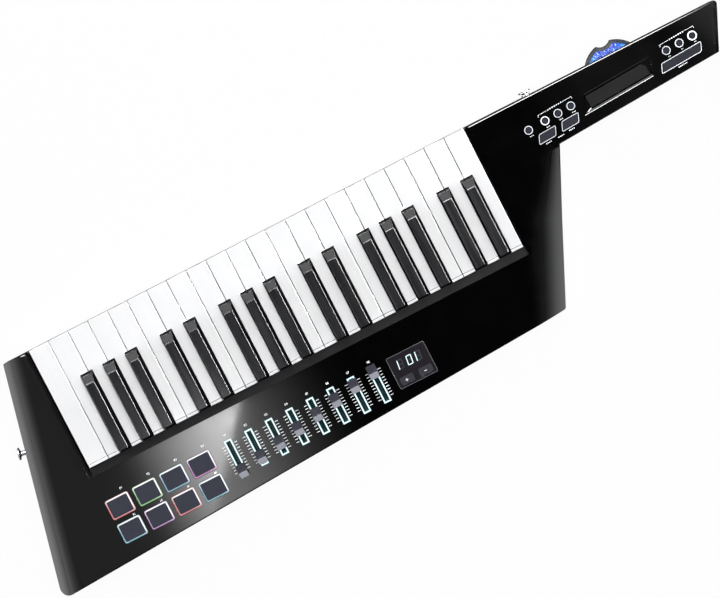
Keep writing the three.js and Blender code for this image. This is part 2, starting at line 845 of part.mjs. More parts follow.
function padPlaces() {
  const places = [];
  for (let row = 0; row < padRows; row++) {
    for (let column = 0; column < padColumns; column++) {
      places.push([padFirstX + column * padPitchX, padTopRowY - row * padPitchY]);
    }
  }
  return places;
}

function faderX(index) {
  return faderFirstX + index * faderPitch;
}

function slantButtons() {
  const firstU = firstRoundU + slantFromFirstButton;
  return [firstU, firstU + slantButtonPitch].map((u) =>
    slanted(u, slantButtonLine, slantButtonWidth, slantButtonHeight, slantButtonSkew));
}

function barButton() {
  const u = (upperRoundU[0] + upperRoundU[upperRoundCount - 1]) / 2 - slantButtonSkew * 3 / 2;
  return slanted(u, slantButtonLine, barButtonWidth, slantButtonHeight, slantButtonSkew);
}

function roundButtons(places, radius) {
  return places.map((u) => circle(u, roundButtonLine, radius, roundButtonSides));
}

function faceOpenings() {
  const low = faceUnderside - pocketDepth - cutOverrun;
  const high = faceHeight + cutOverrun;
  const through = (points, frame) => prism(points, low, high, frame);
  const pads = padPlaces().map(([x, y]) =>
    through(roundedRectangle(x, y, padOpeningWidth, padOpeningHeight, padOpeningRadius)));
  const slots = [];
  for (let i = 0; i < faderCount; i++) {
    const x = faderX(i);
    const half = faderSlotWidth / 2;
    const reach = faderSlotLength / 2;
    slots.push(through(rectangle(x - half, x + half, faderSlotY - reach, faderSlotY + reach)));
  }
  const recess = prism(displayOutline(displayGap), faceHeight - displayThickness - seatGap, high);
  const window = through(rectangle(
    displayX - displayWidth / 2 + displayLedge,
    displayX + displayWidth / 2 - displayLedge,
    displayY - displayHeight / 2 + displayLedge,
    displayY + displayHeight / 2 - displayLedge,
  ));
  const rounds = roundButtons([...lowerRoundU, ...upperRoundU], roundButtonRadius + buttonGap)
    .map((points) => through(points, neckFrame));
  const slants = [...slantButtons(), barButton()]
    .map((points) => through(inset(points, -buttonGap), neckFrame));
  return [...pads, ...slots, recess, window, ...rounds, ...slants];
}

function addFrontShell() {
  const body = cut(prism(outline, shellSeamHeight, faceHeight), [...rollCutters(0), ...edgeRoundCutters()]);
  const hollow = cut(prism(innerOutline, shellSeamHeight - cutOverrun, faceUnderside), rollCutters(faceWall));
  const wellSides = [-1, 1].map((side) => {
    const inner = side * wellHalfWidth;
    const outer = side * (wellHalfWidth + shellWall);
    return block(Math.min(inner, outer), Math.max(inner, outer), railRearY - railRearOverlap,
      topEdgeY, partingHeight, faceHeight);
  });
  const bosses = bossPlaces().map(([x, y]) =>
    prism(circle(x, y, bossRadius, bossSides), partingHeight, faceHeight));
  const well = prism(
    rounded(rectangle(-wellHalfWidth, wellHalfWidth, railRearY, topEdgeY + shellWall),
      [wellCornerRadius, wellCornerRadius, sharpRadius, sharpRadius]),
    partingHeight - cutOverrun,
    faceHeight + cutOverrun,
  );
  const ledges = [-1, 1].map((side) => {
    const inner = side * (wellHalfWidth - cutOverrun);
    const outer = side * (wellHalfWidth + wellLedgeWidth);
    return block(Math.min(inner, outer), Math.max(inner, outer), railRearY, topEdgeY + cutOverrun,
      faceHeight - wellLedgeDrop, faceHeight + cutOverrun);
  });
  const openHollow = cut(hollow, [...wellSides, ...bosses, pocketBacking()]);
  const bevel = edgeCutter(neckTipLower, neckTipUpper, [
    [neckTipBevel, faceHeight + cutOverrun],
    [-cutOverrun, faceHeight + cutOverrun],
    [-cutOverrun, faceHeight - neckTipBevel / 2],
    [0, faceHeight - neckTipBevel / 2],
    [neckTipBevel, faceHeight],
  ]);
  const tools = [openHollow, well, ...ledges, facePocket(pocketDepth), bevel, wheelSlot(), ...faceOpenings(),
    ...lowerWallMouths()];
  addNode("front_shell", cut(body, tools), shellPlastic);
}

// Rear shell

function rearSection(floor) {
  const start = rootX - rampStartBeforeRoot;
  const end = rootX + rampEndBeyondRoot;
  const far = neckTipUpper[0] + shellWall;
  const near = leftBottom[0] - shellWall;
  const profile = [
    [near, floor],
    [start, floor],
    [end, neckUnderside + floor],
    [far, neckUnderside + floor],
    [far, partingHeight + floor],
    [near, partingHeight + floor],
  ];
  return prismAlongY(profile, leftBottom[1] - shellWall, topEdgeY + shellWall);
}

function backChamferCutters(wall) {
  const slope = backChamfer + wall * Math.SQRT2;
  const atHeight = (height) => [
    [-cutOverrun, height - cutOverrun],
    [slope + cutOverrun, height - cutOverrun],
    [-cutOverrun, height + slope + cutOverrun],
  ];
  const neckStart = [rootX + rampEndBeyondRoot, topEdgeY];
  return [
    edgeCutter(leftTop, leftBottom, atHeight(0)),
    edgeCutter(leftBottom, rightBottom, atHeight(0)),
    edgeCutter(rightBottom, neckRoot, atHeight(0)),
    edgeCutter(neckTipLower, neckTipUpper, atHeight(neckUnderside)),
    edgeCutter(neckTipUpper, neckStart, atHeight(neckUnderside)),
  ];
}

function bayFrame() {
  const x = faderX(0) + bayFromFaders;
  const y = railRearY - bayFromRail - bayWidth / 2;
  return { left: x - bayLength / 2, right: x + bayLength / 2, near: y - bayWidth / 2, far: y + bayWidth / 2 };
}

function growFrame({ left, right, near, far }, margin) {
  return rectangle(left - margin, right + margin, near - margin, far + margin);
}

function doorSeatHeight() {
  return doorRecess + doorThickness + seatGap;
}

function boardPosts() {
  const left = boardLeft() + postInset;
  const right = boardRight() - postInset;
  const far = railRearY - boardFromRail - postInset / 2;
  const near = (x) => lowerInnerY(x) + postInset;
  const middle = faderX(0) + bayFromFaders + bayLength / 2 + bayWall + postInset;
  const places = [[left, far], [middle, far], [right, far], [left, near(left)], [middle, near(middle)]];
  return places.map(([x, y]) =>
    prism(circle(x, y, postRadius, bossSides), shellWall / 2, boardBottom - seatGap));
}

function wheelPin() {
  const collarTop = wheelZ - wheelThickness / 2 - seatGap;
  const low = neckUnderside + shellWall / 2;
  const collar = prism(circle(wheelX, wheelY, wheelCollarRadius, wheelSides / 2), low, collarTop);
  const pinTop = wheelZ + wheelThickness / 2 + wheelPinRise;
  const pin = prism(circle(wheelX, wheelY, wheelPinRadius, wheelSides / 2), low, pinTop);
  return collar.add(pin);
}

function addRearShell() {
  const section = rearSection(0);
  const body = cut(prism(outline, 0, partingHeight).intersect(section), backChamferCutters(0));
  const inner = prism(innerOutline, 0, partingHeight + cutOverrun).intersect(rearSection(shellWall));
  const hollow = cut(inner, backChamferCutters(shellWall));
  const bay = bayFrame();
  const bayBlock = prism(growFrame(bay, bayWall + doorLedge + doorGap), 0, doorSeatHeight() + bayWall)
    .add(prism(growFrame(bay, bayWall), 0, doorSeatHeight() + bayDepth + bayWall));
  const bosses = bossPlaces().map(([x, y]) =>
    prism(circle(x, y, bossRadius, bossSides), shellWall / 2, partingHeight));
  const keep = [bayBlock, ...bosses];
  const openHollow = cut(hollow, keep);
  const keySill = block(-wellHalfWidth, wellHalfWidth, topEdgeY - shellWall - cutOverrun,
    topEdgeY + cutOverrun, keyOpeningSill, partingHeight + cutOverrun);
  const bayHollow = prism(growFrame(bay, 0), -cutOverrun, doorSeatHeight() + bayDepth);
  const doorHollow = prism(growFrame(bay, doorLedge + doorGap), -cutOverrun, doorSeatHeight());
  const screwHoles = bossPlaces().map(([x, y]) =>
    prism(circle(x, y, screwHoleRadius, bossSides), -cutOverrun, screwHoleDepth));
  const shell = cut(body, [openHollow, keySill, bayHollow, doorHollow, wheelSlot(), ...screwHoles,
    ...lowerWallMouths()]);
  addNode("rear_shell", join([shell, wheelPin(), ...boardPosts()]), shellPlastic);
}

function addBatteryDoor() {
  const door = prism(growFrame(bayFrame(), doorLedge), doorRecess, doorRecess + doorThickness);
  addNode("battery_door", door, shellPlastic);
}

// Pads, faders, display

function addPadMat() {
  const top = faceUnderside - seatGap;
  const bottom = top - matThickness;
  const grow = matMargin + padOpeningWidth / 2;
  const growY = matMargin + padOpeningHeight / 2;
  const lastX = padFirstX + (padColumns - 1) * padPitchX;
  const lastY = padTopRowY - (padRows - 1) * padPitchY;
  const pieces = [block(padFirstX - grow, lastX + grow, lastY - growY, padTopRowY + growY, bottom, top)];
  for (const [x, y] of padPlaces()) {
    const width = padOpeningWidth - 2 * padGap;
    const height = padOpeningHeight - 2 * padGap;
    const flange = roundedRectangle(x, y, width, height, padOpeningRadius - padGap);
    const face = roundedRectangle(x, y, width - 2 * padTopInset, height - 2 * padTopInset, padTopRadius);
    pieces.push(prism(flange, bottom, faceHeight - padFlangeDrop));
    pieces.push(prism(face, bottom, faceHeight + padRise));
  }
  addNode("drum_pad_mat", join(pieces), padRubber);
}

function faderCapY(index) {
  return faderSlotY + faderTravel * (index / (faderCount - 1) - 1 / 2);
}

function faderCap(index) {
  const x = faderX(index);
  const y = faderCapY(index);
  const low = faceHeight + faderCapHover;
  const half = faderCapLength / 2;
  const ridge = faderRidgeWidth / 2;
  const profile = [
    [y - half, low],
    [y + half, low],
    [y + half, low + faderCapEndHeight],
    [y + ridge, low + faderCapHeight],
    [y - ridge, low + faderCapHeight],
    [y - half, low + faderCapEndHeight],
  ];
  const cap = prismAlongX(profile, x - faderCapWidth / 2, x + faderCapWidth / 2);
  const stemFoot = faceUnderside - faderPotBelowFace - faderStemDepth;
  const stem = block(x - faderStemWidth / 2, x + faderStemWidth / 2, y - faderStemLength / 2,
    y + faderStemLength / 2, stemFoot, low + faderCapEndHeight);
  return cap.add(stem);
}

function addFaderCaps() {
  for (let i = 0; i < faderCount; i++) {
    addNode("fader_cap_" + (i + 1), faderCap(i), capPlastic);
  }
}

function keyButtonPlaces() {
  return [-1, 1].map((side) => [displayX + (side * keyButtonSpread) / 2, keyButtonY]);
}

function displayOutline(margin) {
  const width = displayWidth + 2 * margin;
  const height = displayHeight + 2 * margin;
  return roundedRectangle(displayX, displayY, width, height, displayRadius);
}

function addDisplay() {
  const low = faceHeight - displayThickness;
  const plate = prism(displayOutline(0), low, faceHeight);
  const holes = keyButtonPlaces().map(([x, y]) => prism(
    roundedRectangle(x, y, keyButtonWidth + 2 * buttonGap, keyButtonHeight + 2 * buttonGap, keyButtonRadius),
    low - cutOverrun,
    faceHeight + cutOverrun,
  ));
  addNode("display_window", cut(plate, holes), displayPlastic);
  const matTop = low - seatGap;
  const matBottom = matTop - matThickness;
  const reach = keyButtonSpread / 2 + keyButtonWidth / 2 + matMargin / 2;
  const rise = keyButtonHeight / 2 + matMargin / 2;
  const sheet = rectangle(displayX - reach, displayX + reach, keyButtonY - rise, keyButtonY + rise);
  const mat = prism(sheet, matBottom, matTop);
  const buttons = keyButtonPlaces().map(([x, y]) => prism(
    roundedRectangle(x, y, keyButtonWidth, keyButtonHeight, keyButtonRadius),
    matBottom,
    faceHeight + keyButtonRise,
  ));
  addNode("display_button_mat", join([mat, ...buttons]), buttonRubber);
}

// Neck buttons, touch strip and bend wheel

function neckMat(roundPlaces, slants) {
  const top = faceUnderside - seatGap;
  const bottom = top - matThickness;
  const crown = faceHeight + neckButtonRise;
  const firstU = roundPlaces[0] - roundButtonRadius - matMargin;
  const lastU = roundPlaces.at(-1) + roundButtonRadius + matMargin;
  const highV = roundButtonLine + roundButtonRadius + matMargin;
  const pieces = [block(firstU, lastU, slantButtonLine, highV, bottom, top, neckFrame)];
  slants.forEach((points) => {
    pieces.push(prism(inset(points, -matMargin), bottom, top, neckFrame));
    pieces.push(prism(points, bottom, crown, neckFrame));
  });
  roundButtons(roundPlaces, roundButtonRadius).forEach((points) => {
    pieces.push(prism(points, bottom, crown, neckFrame));
  });
  return join(pieces);
}

function addNeckControls() {
  addNode("neck_button_mat_lower", neckMat(lowerRoundU, slantButtons()), buttonRubber);
  addNode("neck_button_mat_upper", neckMat(upperRoundU, [barButton()]), buttonRubber);
  const stripBottom = faceHeight - pocketDepth + seatGap;
  const strip = prism(stripOutline(0), stripBottom, stripBottom + stripThickness, neckFrame);
  addNode("touch_strip", strip, stripPlastic);
}

function addBendWheel() {
  const half = wheelThickness / 2;
  const disc = prism(circle(wheelX, wheelY, wheelRadius, wheelSides), wheelZ - half, wheelZ + half);
  const boreRadius = wheelPinRadius + wheelBoreClearance;
  const bore = prism(circle(wheelX, wheelY, boreRadius, wheelSides / 2), wheelZ - half - cutOverrun,
    wheelZ + half + cutOverrun);
  const notchRadius = (wheelNotchWidth ** 2 / 4 + wheelNotchDepth ** 2) / (2 * wheelNotchDepth);
  const notchY = wheelY + wheelRadius - wheelNotchDepth + notchRadius;
  const round = (x, y, radius, low, high) => prism(circle(x, y, radius, wheelSides), low, high);
  const notch = round(wheelX, notchY, notchRadius, wheelZ - half - cutOverrun, wheelZ + half + cutOverrun);
  const webRing = [wheelZ - half - cutOverrun, wheelZ + half - wheelWebRecess].map((low) => {
    const high = low + wheelWebRecess + cutOverrun;
    return cut(round(wheelX, wheelY, wheelRadius - wheelRimWidth, low, high), [
      round(wheelX, wheelY, wheelHubRadius, low - cutOverrun, high + cutOverrun),
      round(wheelX, notchY, notchRadius + wheelRimWidth, low - cutOverrun, high + cutOverrun),
    ]);
  });
  addNode("pitch_wheel", cut(disc, [bore, notch, ...webRing]), wheelPlastic);
}

// Strap buttons: turned metal buttons with a foot, a stem and a flared head

function strapButton(length) {
  const headFoot = length - strapHeadThickness;
  const profile = [
    [0, 0],
    [strapFootRadius, 0],
    [strapFootRadius, strapFootThickness],
    [strapStemRadius, strapFootThickness],
    [strapStemRadius, headFoot - strapFlare],
    [strapHeadRadius, headFoot],
    [strapHeadRadius, length - strapHeadThickness / 3],
    [strapHeadRadius - strapHeadThickness, length],
    [0, length],
  ];
  return new THREE.LatheGeometry(profile.map(([r, h]) => new THREE.Vector2(r, h)), strapSides);
}

function addStrapButtons() {
  const edge = new THREE.Vector3(leftBottom[0] - leftTop[0], leftBottom[1] - leftTop[1], 0).normalize();
  const outwards = new THREE.Vector3(edge.y, -edge.x, 0);
  const foot = new THREE.Vector3(leftTop[0], leftTop[1], endStrapHeight)
    .addScaledVector(edge, endStrapFromCorner)
    .addScaledVector(outwards, seatGap);
  const ends = [
    { name: "strap_button_end", length: endStrapLength, foot, outwards },
    {
      name: "strap_button_neck",
      length: neckStrapLength,
      foot: new THREE.Vector3(rootX - neckStrapBeforeRoot, topEdgeY + seatGap, neckStrapHeight),
      outwards: new THREE.Vector3(0, 1, 0),
    },
  ];
  for (const end of ends) {
    const mesh = new THREE.Mesh(strapButton(end.length), strapMetal);
    mesh.name = end.name;
    mesh.position.copy(end.foot);
    mesh.quaternion.setFromUnitVectors(new THREE.Vector3(0, 1, 0), end.outwards);
    keytar.add(mesh);
  }
}

// Main board: laminate, fader bodies, sockets and the switch housing

function boardLeft() {
  return padFirstX - padOpeningWidth / 2 - boardMargin;
}

function boardRight() {
  return displayX + switchFromDisplay + switchHousingWidth + boardMargin;
}

function lowerInnerY(x) {
  const edgeY = leftBottom[1] + (x - leftBottom[0]) * Math.tan(lowerEdgeAngle);
  return edgeY + (shellWall + boardWallClearance) / Math.cos(lowerEdgeAngle);
}

function sockets() {
  const usbS = switchS - usbFromSwitch;
  return [
    { s: usbS, width: usbWidth, height: usbHeight, depth: usbDepth },
    { s: usbS - socketSpacing, width: jackWidth, height: jackWidth, depth: jackDepth },
    { s: usbS - 2 * socketSpacing, width: dinWidth, height: dinWidth, depth: dinDepth },
  ];
}

function switchNubMiddle() {
  return boardBottom - switchHousingHeight / 2;
}

function socketHousing({ s, width, height, depth }) {
  return block(s - width / 2, s + width / 2, socketSetback, socketSetback + depth,
    boardBottom - height, boardBottom, lowerEdgeFrame);
}

// A hole that runs into a housing from its mouth at the wall
function socketMouth(points, depth) {
  const turn = new THREE.Matrix4().makeBasis(
    new THREE.Vector3(1, 0, 0),
    new THREE.Vector3(0, 0, 1),
    new THREE.Vector3(0, -1, 0),
  );
  const geometry = prismGeometry(points, -socketSetback - depth, cutOverrun).applyMatrix4(turn);
  return solidOf(geometry.applyMatrix4(lowerEdgeFrame));
}

function addMainBoard() {
  const left = boardLeft();
  const right = boardRight();
  const far = railRearY - boardFromRail;
  const plate = prism([[left, lowerInnerY(left)], [right, lowerInnerY(right)], [right, far], [left, far]],
    boardBottom, boardTop);
  const pots = [];
  const grooves = [];
  const potTop = faceUnderside - faderPotBelowFace;
  for (let i = 0; i < faderCount; i++) {
    const x = faderX(i);
    pots.push(block(x - faderPotWidth / 2, x + faderPotWidth / 2, faderSlotY - faderPotLength / 2,
      faderSlotY + faderPotLength / 2, boardTop - boardThickness / 2, potTop));
    const half = faderStemWidth / 2 + seatGap;
    const reach = (faderTravel + faderStemLength) / 2 + seatGap;
    grooves.push(block(x - half, x + half, faderSlotY - reach, faderSlotY + reach,
      potTop - faderStemDepth - seatGap, potTop + cutOverrun));
  }
  const [usb, jack, din] = sockets();
  const usbMiddle = boardBottom - usbHeight / 2;
  const usbHalf = usbMouthHeight / 2;
  const usbMouth = rectangle(usb.s - usbMouthWidth / 2, usb.s + usbMouthWidth / 2, usbMiddle - usbHalf,
    usbMiddle + usbHalf);
  const bores = [
    socketMouth(usbMouth, usbMouthDepth),
    socketMouth(circle(jack.s, boardBottom - jackWidth / 2, jackBoreRadius, boreSides), jackBoreDepth),
    socketMouth(circle(din.s, boardBottom - dinWidth / 2, dinBoreRadius, boreSides), dinBoreDepth),
  ];
  const housingLow = boardBottom - switchHousingHeight;
  const front = shellWall + seatGap;
  const middle = switchS + switchTravel / 2;
  const housing = block(middle - switchHousingWidth / 2, middle + switchHousingWidth / 2, front,
    front + switchHousingDepth, housingLow, boardBottom, lowerEdgeFrame);
  const chamberWidth = switchFlangeWidth + switchTravel + 2 * seatGap;
  const chamberHalf = switchFlangeHeight / 2 + seatGap;
  const chamber = block(middle - chamberWidth / 2, middle + chamberWidth / 2, front - cutOverrun,
    front + switchHousingWall + switchFlangeThickness, switchNubMiddle() - chamberHalf,
    switchNubMiddle() + chamberHalf, lowerEdgeFrame);
  const bossHoles = bossPlaces().map(([x, y]) =>
    prism(circle(x, y, bossRadius + seatGap, bossSides), boardBottom - cutOverrun, boardTop + cutOverrun));
  const solid = join([cut(plate, bossHoles), ...pots, ...sockets().map(socketHousing), housing]);
  addNode("main_board", cut(solid, [...grooves, ...bores, chamber]), boardLaminate);
}

function addPowerSwitch() {
  const middleZ = switchNubMiddle();
  const back = shellWall + seatGap + switchHousingWall + switchFlangeThickness - seatGap;
  const flange = block(switchS - switchFlangeWidth / 2, switchS + switchFlangeWidth / 2,
    back - switchFlangeThickness, back, middleZ - switchFlangeHeight / 2, middleZ + switchFlangeHeight / 2,
    lowerEdgeFrame);
  const nub = block(switchS - switchNubWidth / 2, switchS + switchNubWidth / 2, -switchNubProtrusion,
    back, middleZ - switchNubHeight / 2, middleZ + switchNubHeight / 2, lowerEdgeFrame);
  addNode("power_switch", flange.add(nub), buttonRubber);
}

// Assembly, with the origin under the middle of the part at its lowest level

addKeys();
addChassis();
addFrontShell();
addRearShell();
addBatteryDoor();
addPadMat();
addFaderCaps();
addDisplay();
addNeckControls();
addBendWheel();
addStrapButtons();
addMainBoard();
addPowerSwitch();

const bounds = new THREE.Box3().setFromObject(keytar, true);
const middle = bounds.getCenter(new THREE.Vector3());
keytar.position.set(-middle.x, -middle.y, -bounds.min.z);

export default keytar;
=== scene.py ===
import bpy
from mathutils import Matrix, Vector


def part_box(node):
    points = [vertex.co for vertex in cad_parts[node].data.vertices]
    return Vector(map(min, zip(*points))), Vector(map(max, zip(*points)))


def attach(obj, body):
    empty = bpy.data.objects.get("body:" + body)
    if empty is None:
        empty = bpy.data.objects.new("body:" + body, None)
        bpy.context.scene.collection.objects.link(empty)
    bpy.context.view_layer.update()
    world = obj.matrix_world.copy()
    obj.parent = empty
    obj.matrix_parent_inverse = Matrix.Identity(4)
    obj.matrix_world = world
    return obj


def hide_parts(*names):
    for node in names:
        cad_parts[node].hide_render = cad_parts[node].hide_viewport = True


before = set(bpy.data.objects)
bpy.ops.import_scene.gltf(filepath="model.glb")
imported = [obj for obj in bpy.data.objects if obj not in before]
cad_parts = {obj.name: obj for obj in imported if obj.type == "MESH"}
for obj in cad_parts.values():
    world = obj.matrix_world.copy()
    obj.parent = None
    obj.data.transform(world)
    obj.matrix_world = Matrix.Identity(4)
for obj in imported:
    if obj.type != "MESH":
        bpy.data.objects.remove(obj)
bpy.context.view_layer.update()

import math

import bmesh
import bpy
from mathutils import Matrix, Vector

# Camera. It stands three metres in front of the playing face and a few degrees off square, and is rolled so
# that the keyboard climbs to the right. Places on the face are given in millimetres from the keyboard's
# middle.
MM = 0.001
FAR_EDGE_Y = 70.7
CAMERA_AIM = (79.65, -39.86, 49.5)
CAMERA_DISTANCE = 3179.7
CAMERA_TILT = (2.527, 2.896)
CAMERA_ROLL = 27.12
CAMERA_LENS = 150.56
CAMERA_SENSOR = 36
CAMERA_REACH = 60
chassis_low, chassis_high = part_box("key_chassis")
keyboard_x = (chassis_low.x + chassis_high.x) / 2
keyboard_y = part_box("front_shell")[1].y - FAR_EDGE_Y * MM


def spot(x, y, z=0.0):
    """A place, from millimetres off the keyboard's middle and up from the back."""
    return Vector((keyboard_x + x * MM, keyboard_y + y * MM, z * MM))


towards = Vector((*(math.sin(math.radians(turn)) for turn in CAMERA_TILT), 1)).normalized()
roll = math.radians(CAMERA_ROLL)
rightwards = Vector((math.cos(roll), -math.sin(roll), 0))
rightwards = (rightwards - towards * rightwards.dot(towards)).normalized()
upwards = towards.cross(rightwards)
eye = spot(*CAMERA_AIM) + towards * CAMERA_DISTANCE * MM
camera = bpy.data.objects.new("camera", bpy.data.cameras.new("camera"))
camera.data.sensor_width = CAMERA_SENSOR
camera.data.lens = CAMERA_LENS
camera.data.clip_end = CAMERA_REACH
turned = Matrix((rightwards, upwards, towards)).transposed().to_4x4()
camera.matrix_world = Matrix.Translation(eye) @ turned
bpy.context.scene.collection.objects.link(camera)
bpy.context.scene.camera = camera
bpy.context.scene.view_settings.view_transform = "Standard"

# Studio. A plain pale floor in a pale room, which the camera and clear plastic see as white, while gloss sees
# the floor dark grey, a painted reflection that keeps rounded edges from mirroring it. The room is dark
# overhead and bright low down and at both ends, so that flat glossy plastic stays black and its rolled-off
# edges turn grey. Two soft lamps, overhead and at the far side, light the colours evenly.
FLOOR_RADIUS = 9
FLOOR_SIDES = 96
FLOOR_DROP = 0.5
FLOOR_PALE = (0.82, 0.82, 0.82)
FLOOR_MIRRORED = (0.06, 0.06, 0.06)
FLOOR_WHITE_SHARE = 0.95
ROOM_LEVELS = ((0.0, 1.7), (0.34, 1.6), (0.56, 1.2), (0.82, 0.22), (0.94, 0.01), (0.985, 0.0))
ROOM_ENDS = ((0.909, -0.416, 0), (-0.973, 0.231, 0))
END_LEVELS = ((0.6, 1.0), (0.92, 2.35))
NEAR_LEVELS = ((0.0, 0.35), (0.4, 1.0), (0.78, 1.0), (0.9, 0.08))
DIFFUSE_SHARE = 0.14
ROOM_TINT = (0.97, 0.98, 1.0)
LAMP_POWER = 43
OVERHEAD_LAMP = ((0.1, 0.2, 2.2), (1.8, 1.4), LAMP_POWER)
FAR_SIDE_LAMP = ((0.5, 2.0, 1.3), (2.2, 0.8), LAMP_POWER / 3)


def piece_from(bm, name, materials):
    """Makes an object of a finished shape, with its materials."""
    mesh = bpy.data.meshes.new(name)
    bm.to_mesh(mesh)
    bm.free()
    for material in materials:
        mesh.materials.append(material)
    made = bpy.data.objects.new(name, mesh)
    bpy.context.scene.collection.objects.link(made)
    return made


def worked(tree, operation, *values):
    """One step of arithmetic on numbers and sockets."""
    node = tree.nodes.new("ShaderNodeMath")
    node.operation = operation
    for socket, value in zip(node.inputs, values):
        if isinstance(value, bpy.types.NodeSocket):
            tree.links.new(value, socket)
        else:
            socket.default_value = value
    return node.outputs[0]


def along(tree, coordinate, direction):
    """How far a place lies along a direction."""
    node = tree.nodes.new("ShaderNodeVectorMath")
    node.operation = "DOT_PRODUCT"
    tree.links.new(coordinate, node.inputs[0])
    node.inputs[1].default_value = direction
    return node.outputs["Value"]


def ramped(tree, value, stops):
    """Runs a value through stops of a position and a level."""
    ramp = tree.nodes.new("ShaderNodeValToRGB")
    tree.links.new(value, ramp.inputs[0])
    elements = ramp.color_ramp.elements
    elements.remove(elements[1])
    most = max(level for _, level in stops)
    for index, (position, level) in enumerate(stops):
        element = elements.new(position) if index else elements[0]
        element.position = position
        element.color = (level / most, level / most, level / most, 1)
    return worked(tree, "MULTIPLY", ramp.outputs["Color"], most)


def blended(tree, share, first, second):
    """A colour between two, each a colour or a socket."""
    node = tree.nodes.new("ShaderNodeMix")
    node.data_type = "RGBA"
    tree.links.new(share, node.inputs[0])
    for socket, colour in ((node.inputs[6], first), (node.inputs[7], second)):
        if isinstance(colour, bpy.types.NodeSocket):
            tree.links.new(colour, socket)
        else:
            socket.default_value = (*colour, 1)
    return node.outputs[2]


def bare_material(name):
    """A material with no nodes yet, and its node tree."""
    material = bpy.data.materials.new(name)
    material.use_nodes = True
    material.node_tree.nodes.clear()
    return material, material.node_tree


def seen_white(tree):
    """1 for rays of the camera and rays through glass."""
    path = tree.nodes.new("ShaderNodeLightPath")
    return worked(tree, "MAXIMUM", path.outputs["Is Camera Ray"], path.outputs["Is Transmission Ray"])


floor_paint, tree = bare_material("floor_paint")
floor_shade = tree.nodes.new("ShaderNodeBsdfDiffuse")
# Gloss sees the floor dark grey: a painted reflection.
mirrored = tree.nodes.new("ShaderNodeLightPath").outputs["Is Glossy Ray"]
tree.links.new(blended(tree, mirrored, FLOOR_PALE, FLOOR_MIRRORED), floor_shade.inputs["Color"])
floor_glow = tree.nodes.new("ShaderNodeEmission")
floor_mix = tree.nodes.new("ShaderNodeMixShader")
floor_out = tree.nodes.new("ShaderNodeOutputMaterial")
tree.links.new(worked(tree, "MULTIPLY", seen_white(tree), FLOOR_WHITE_SHARE), floor_mix.inputs[0])
tree.links.new(floor_shade.outputs[0], floor_mix.inputs[1])
tree.links.new(floor_glow.outputs[0], floor_mix.inputs[2])
tree.links.new(floor_mix.outputs[0], floor_out.inputs["Surface"])
bm = bmesh.new()
bmesh.ops.create_circle(bm, cap_ends=True, segments=FLOOR_SIDES, radius=FLOOR_RADIUS)
bmesh.ops.translate(bm, verts=bm.verts, vec=(0, 0, -FLOOR_DROP * MM))
piece_from(bm, "studio_floor", [floor_paint])

room = bpy.data.worlds.new("room")
bpy.context.scene.world = room
room.use_nodes = True
tree = room.node_tree
tree.nodes.clear()
direction = tree.nodes.new("ShaderNodeTexCoord").outputs["Generated"]
level = ramped(tree, along(tree, direction, (0, 0, 1)), ROOM_LEVELS)
ends = worked(tree, "MAXIMUM", *(along(tree, direction, end) for end in ROOM_ENDS))
level = worked(tree, "MULTIPLY", level, ramped(tree, ends, END_LEVELS))
near = worked(tree, "ADD", along(tree, direction, (0, 0.5, 0)), 0.5)
level = worked(tree, "MULTIPLY", level, ramped(tree, near, NEAR_LEVELS))
path = tree.nodes.new("ShaderNodeLightPath")
share = worked(tree, "MULTIPLY_ADD", path.outputs["Is Diffuse Ray"], DIFFUSE_SHARE - 1, 1)
room_light = tree.nodes.new("ShaderNodeBackground")
room_light.inputs["Color"].default_value = (*ROOM_TINT, 1)
tree.links.new(worked(tree, "MULTIPLY", level, share), room_light.inputs["Strength"])
room_white = tree.nodes.new("ShaderNodeBackground")
room_white.inputs["Color"].default_value = (1, 1, 1, 1)
room_mix = tree.nodes.new("ShaderNodeMixShader")
room_out = tree.nodes.new("ShaderNodeOutputWorld")
tree.links.new(seen_white(tree), room_mix.inputs[0])
tree.links.new(room_light.outputs[0], room_mix.inputs[1])
tree.links.new(room_white.outputs[0], room_mix.inputs[2])
tree.links.new(room_mix.outputs[0], room_out.inputs["Surface"])


def softbox(name, place, size, power):
    """A lamp behind a soft white sheet, facing the keytar, which gloss doesn't show."""
    data = bpy.data.lights.new(name, "AREA")
    data.shape = "RECTANGLE"
    data.size, data.size_y = size
    data.energy = power
    lamp = bpy.data.objects.new(name, data)
    lamp.location = place
    lamp.rotation_euler = Vector(place).to_track_quat("Z", "Y").to_euler()
    lamp.visible_camera = False
    lamp.visible_glossy = False
    bpy.context.scene.collection.objects.link(lamp)


softbox("overhead_softbox", *OVERHEAD_LAMP)
softbox("far_side_softbox", *FAR_SIDE_LAMP)

# Reflection cards. They hang round the keytar and are seen only in its gloss, as a product photographer's
# cards are. Those over the face make its sheen, which ends in a slanted edge and fades out beyond it. Those
# at the sides draw bright lines along the rounded edges, and a dark flag shades the neck's end.
CARD_HEIGHT = 700
FACE = 48
SHEEN_LEAST = 0.34
SHEEN_ACROSS = ((0.0, 0.36), (0.14, 0.42), (0.22, 0.55), (0.31, 1.15), (0.4, 2.6), (0.49, 4.3), (0.67, 8.8),
                (0.94, 16.2), (1.0, 17.2))
SHEEN_EDGE = [(-81.5, -76), (-93, -90), (-132, -137), (-151, -160), (-196, -215)]
FADING_SHEEN = ((0.03, 3.7), (0.16, 3.2), (0.32, 2.2), (0.4, 1.55), (0.47, 1.1), (0.55, 0.7), (0.63, 0.44),
                (0.71, 0.2), (0.79, 0.09), (0.87, 0.03), (1.0, 0.0))
ROLL_SHEEN = ((0.0, 0.38), (0.4, 0.9), (1.0, 2.3))
TIP_SHEEN = ((0.0, 0.0), (0.45, 0.13), (0.72, 0.03), (0.78, 0.08), (0.86, 0.42), (1.0, 0.7))
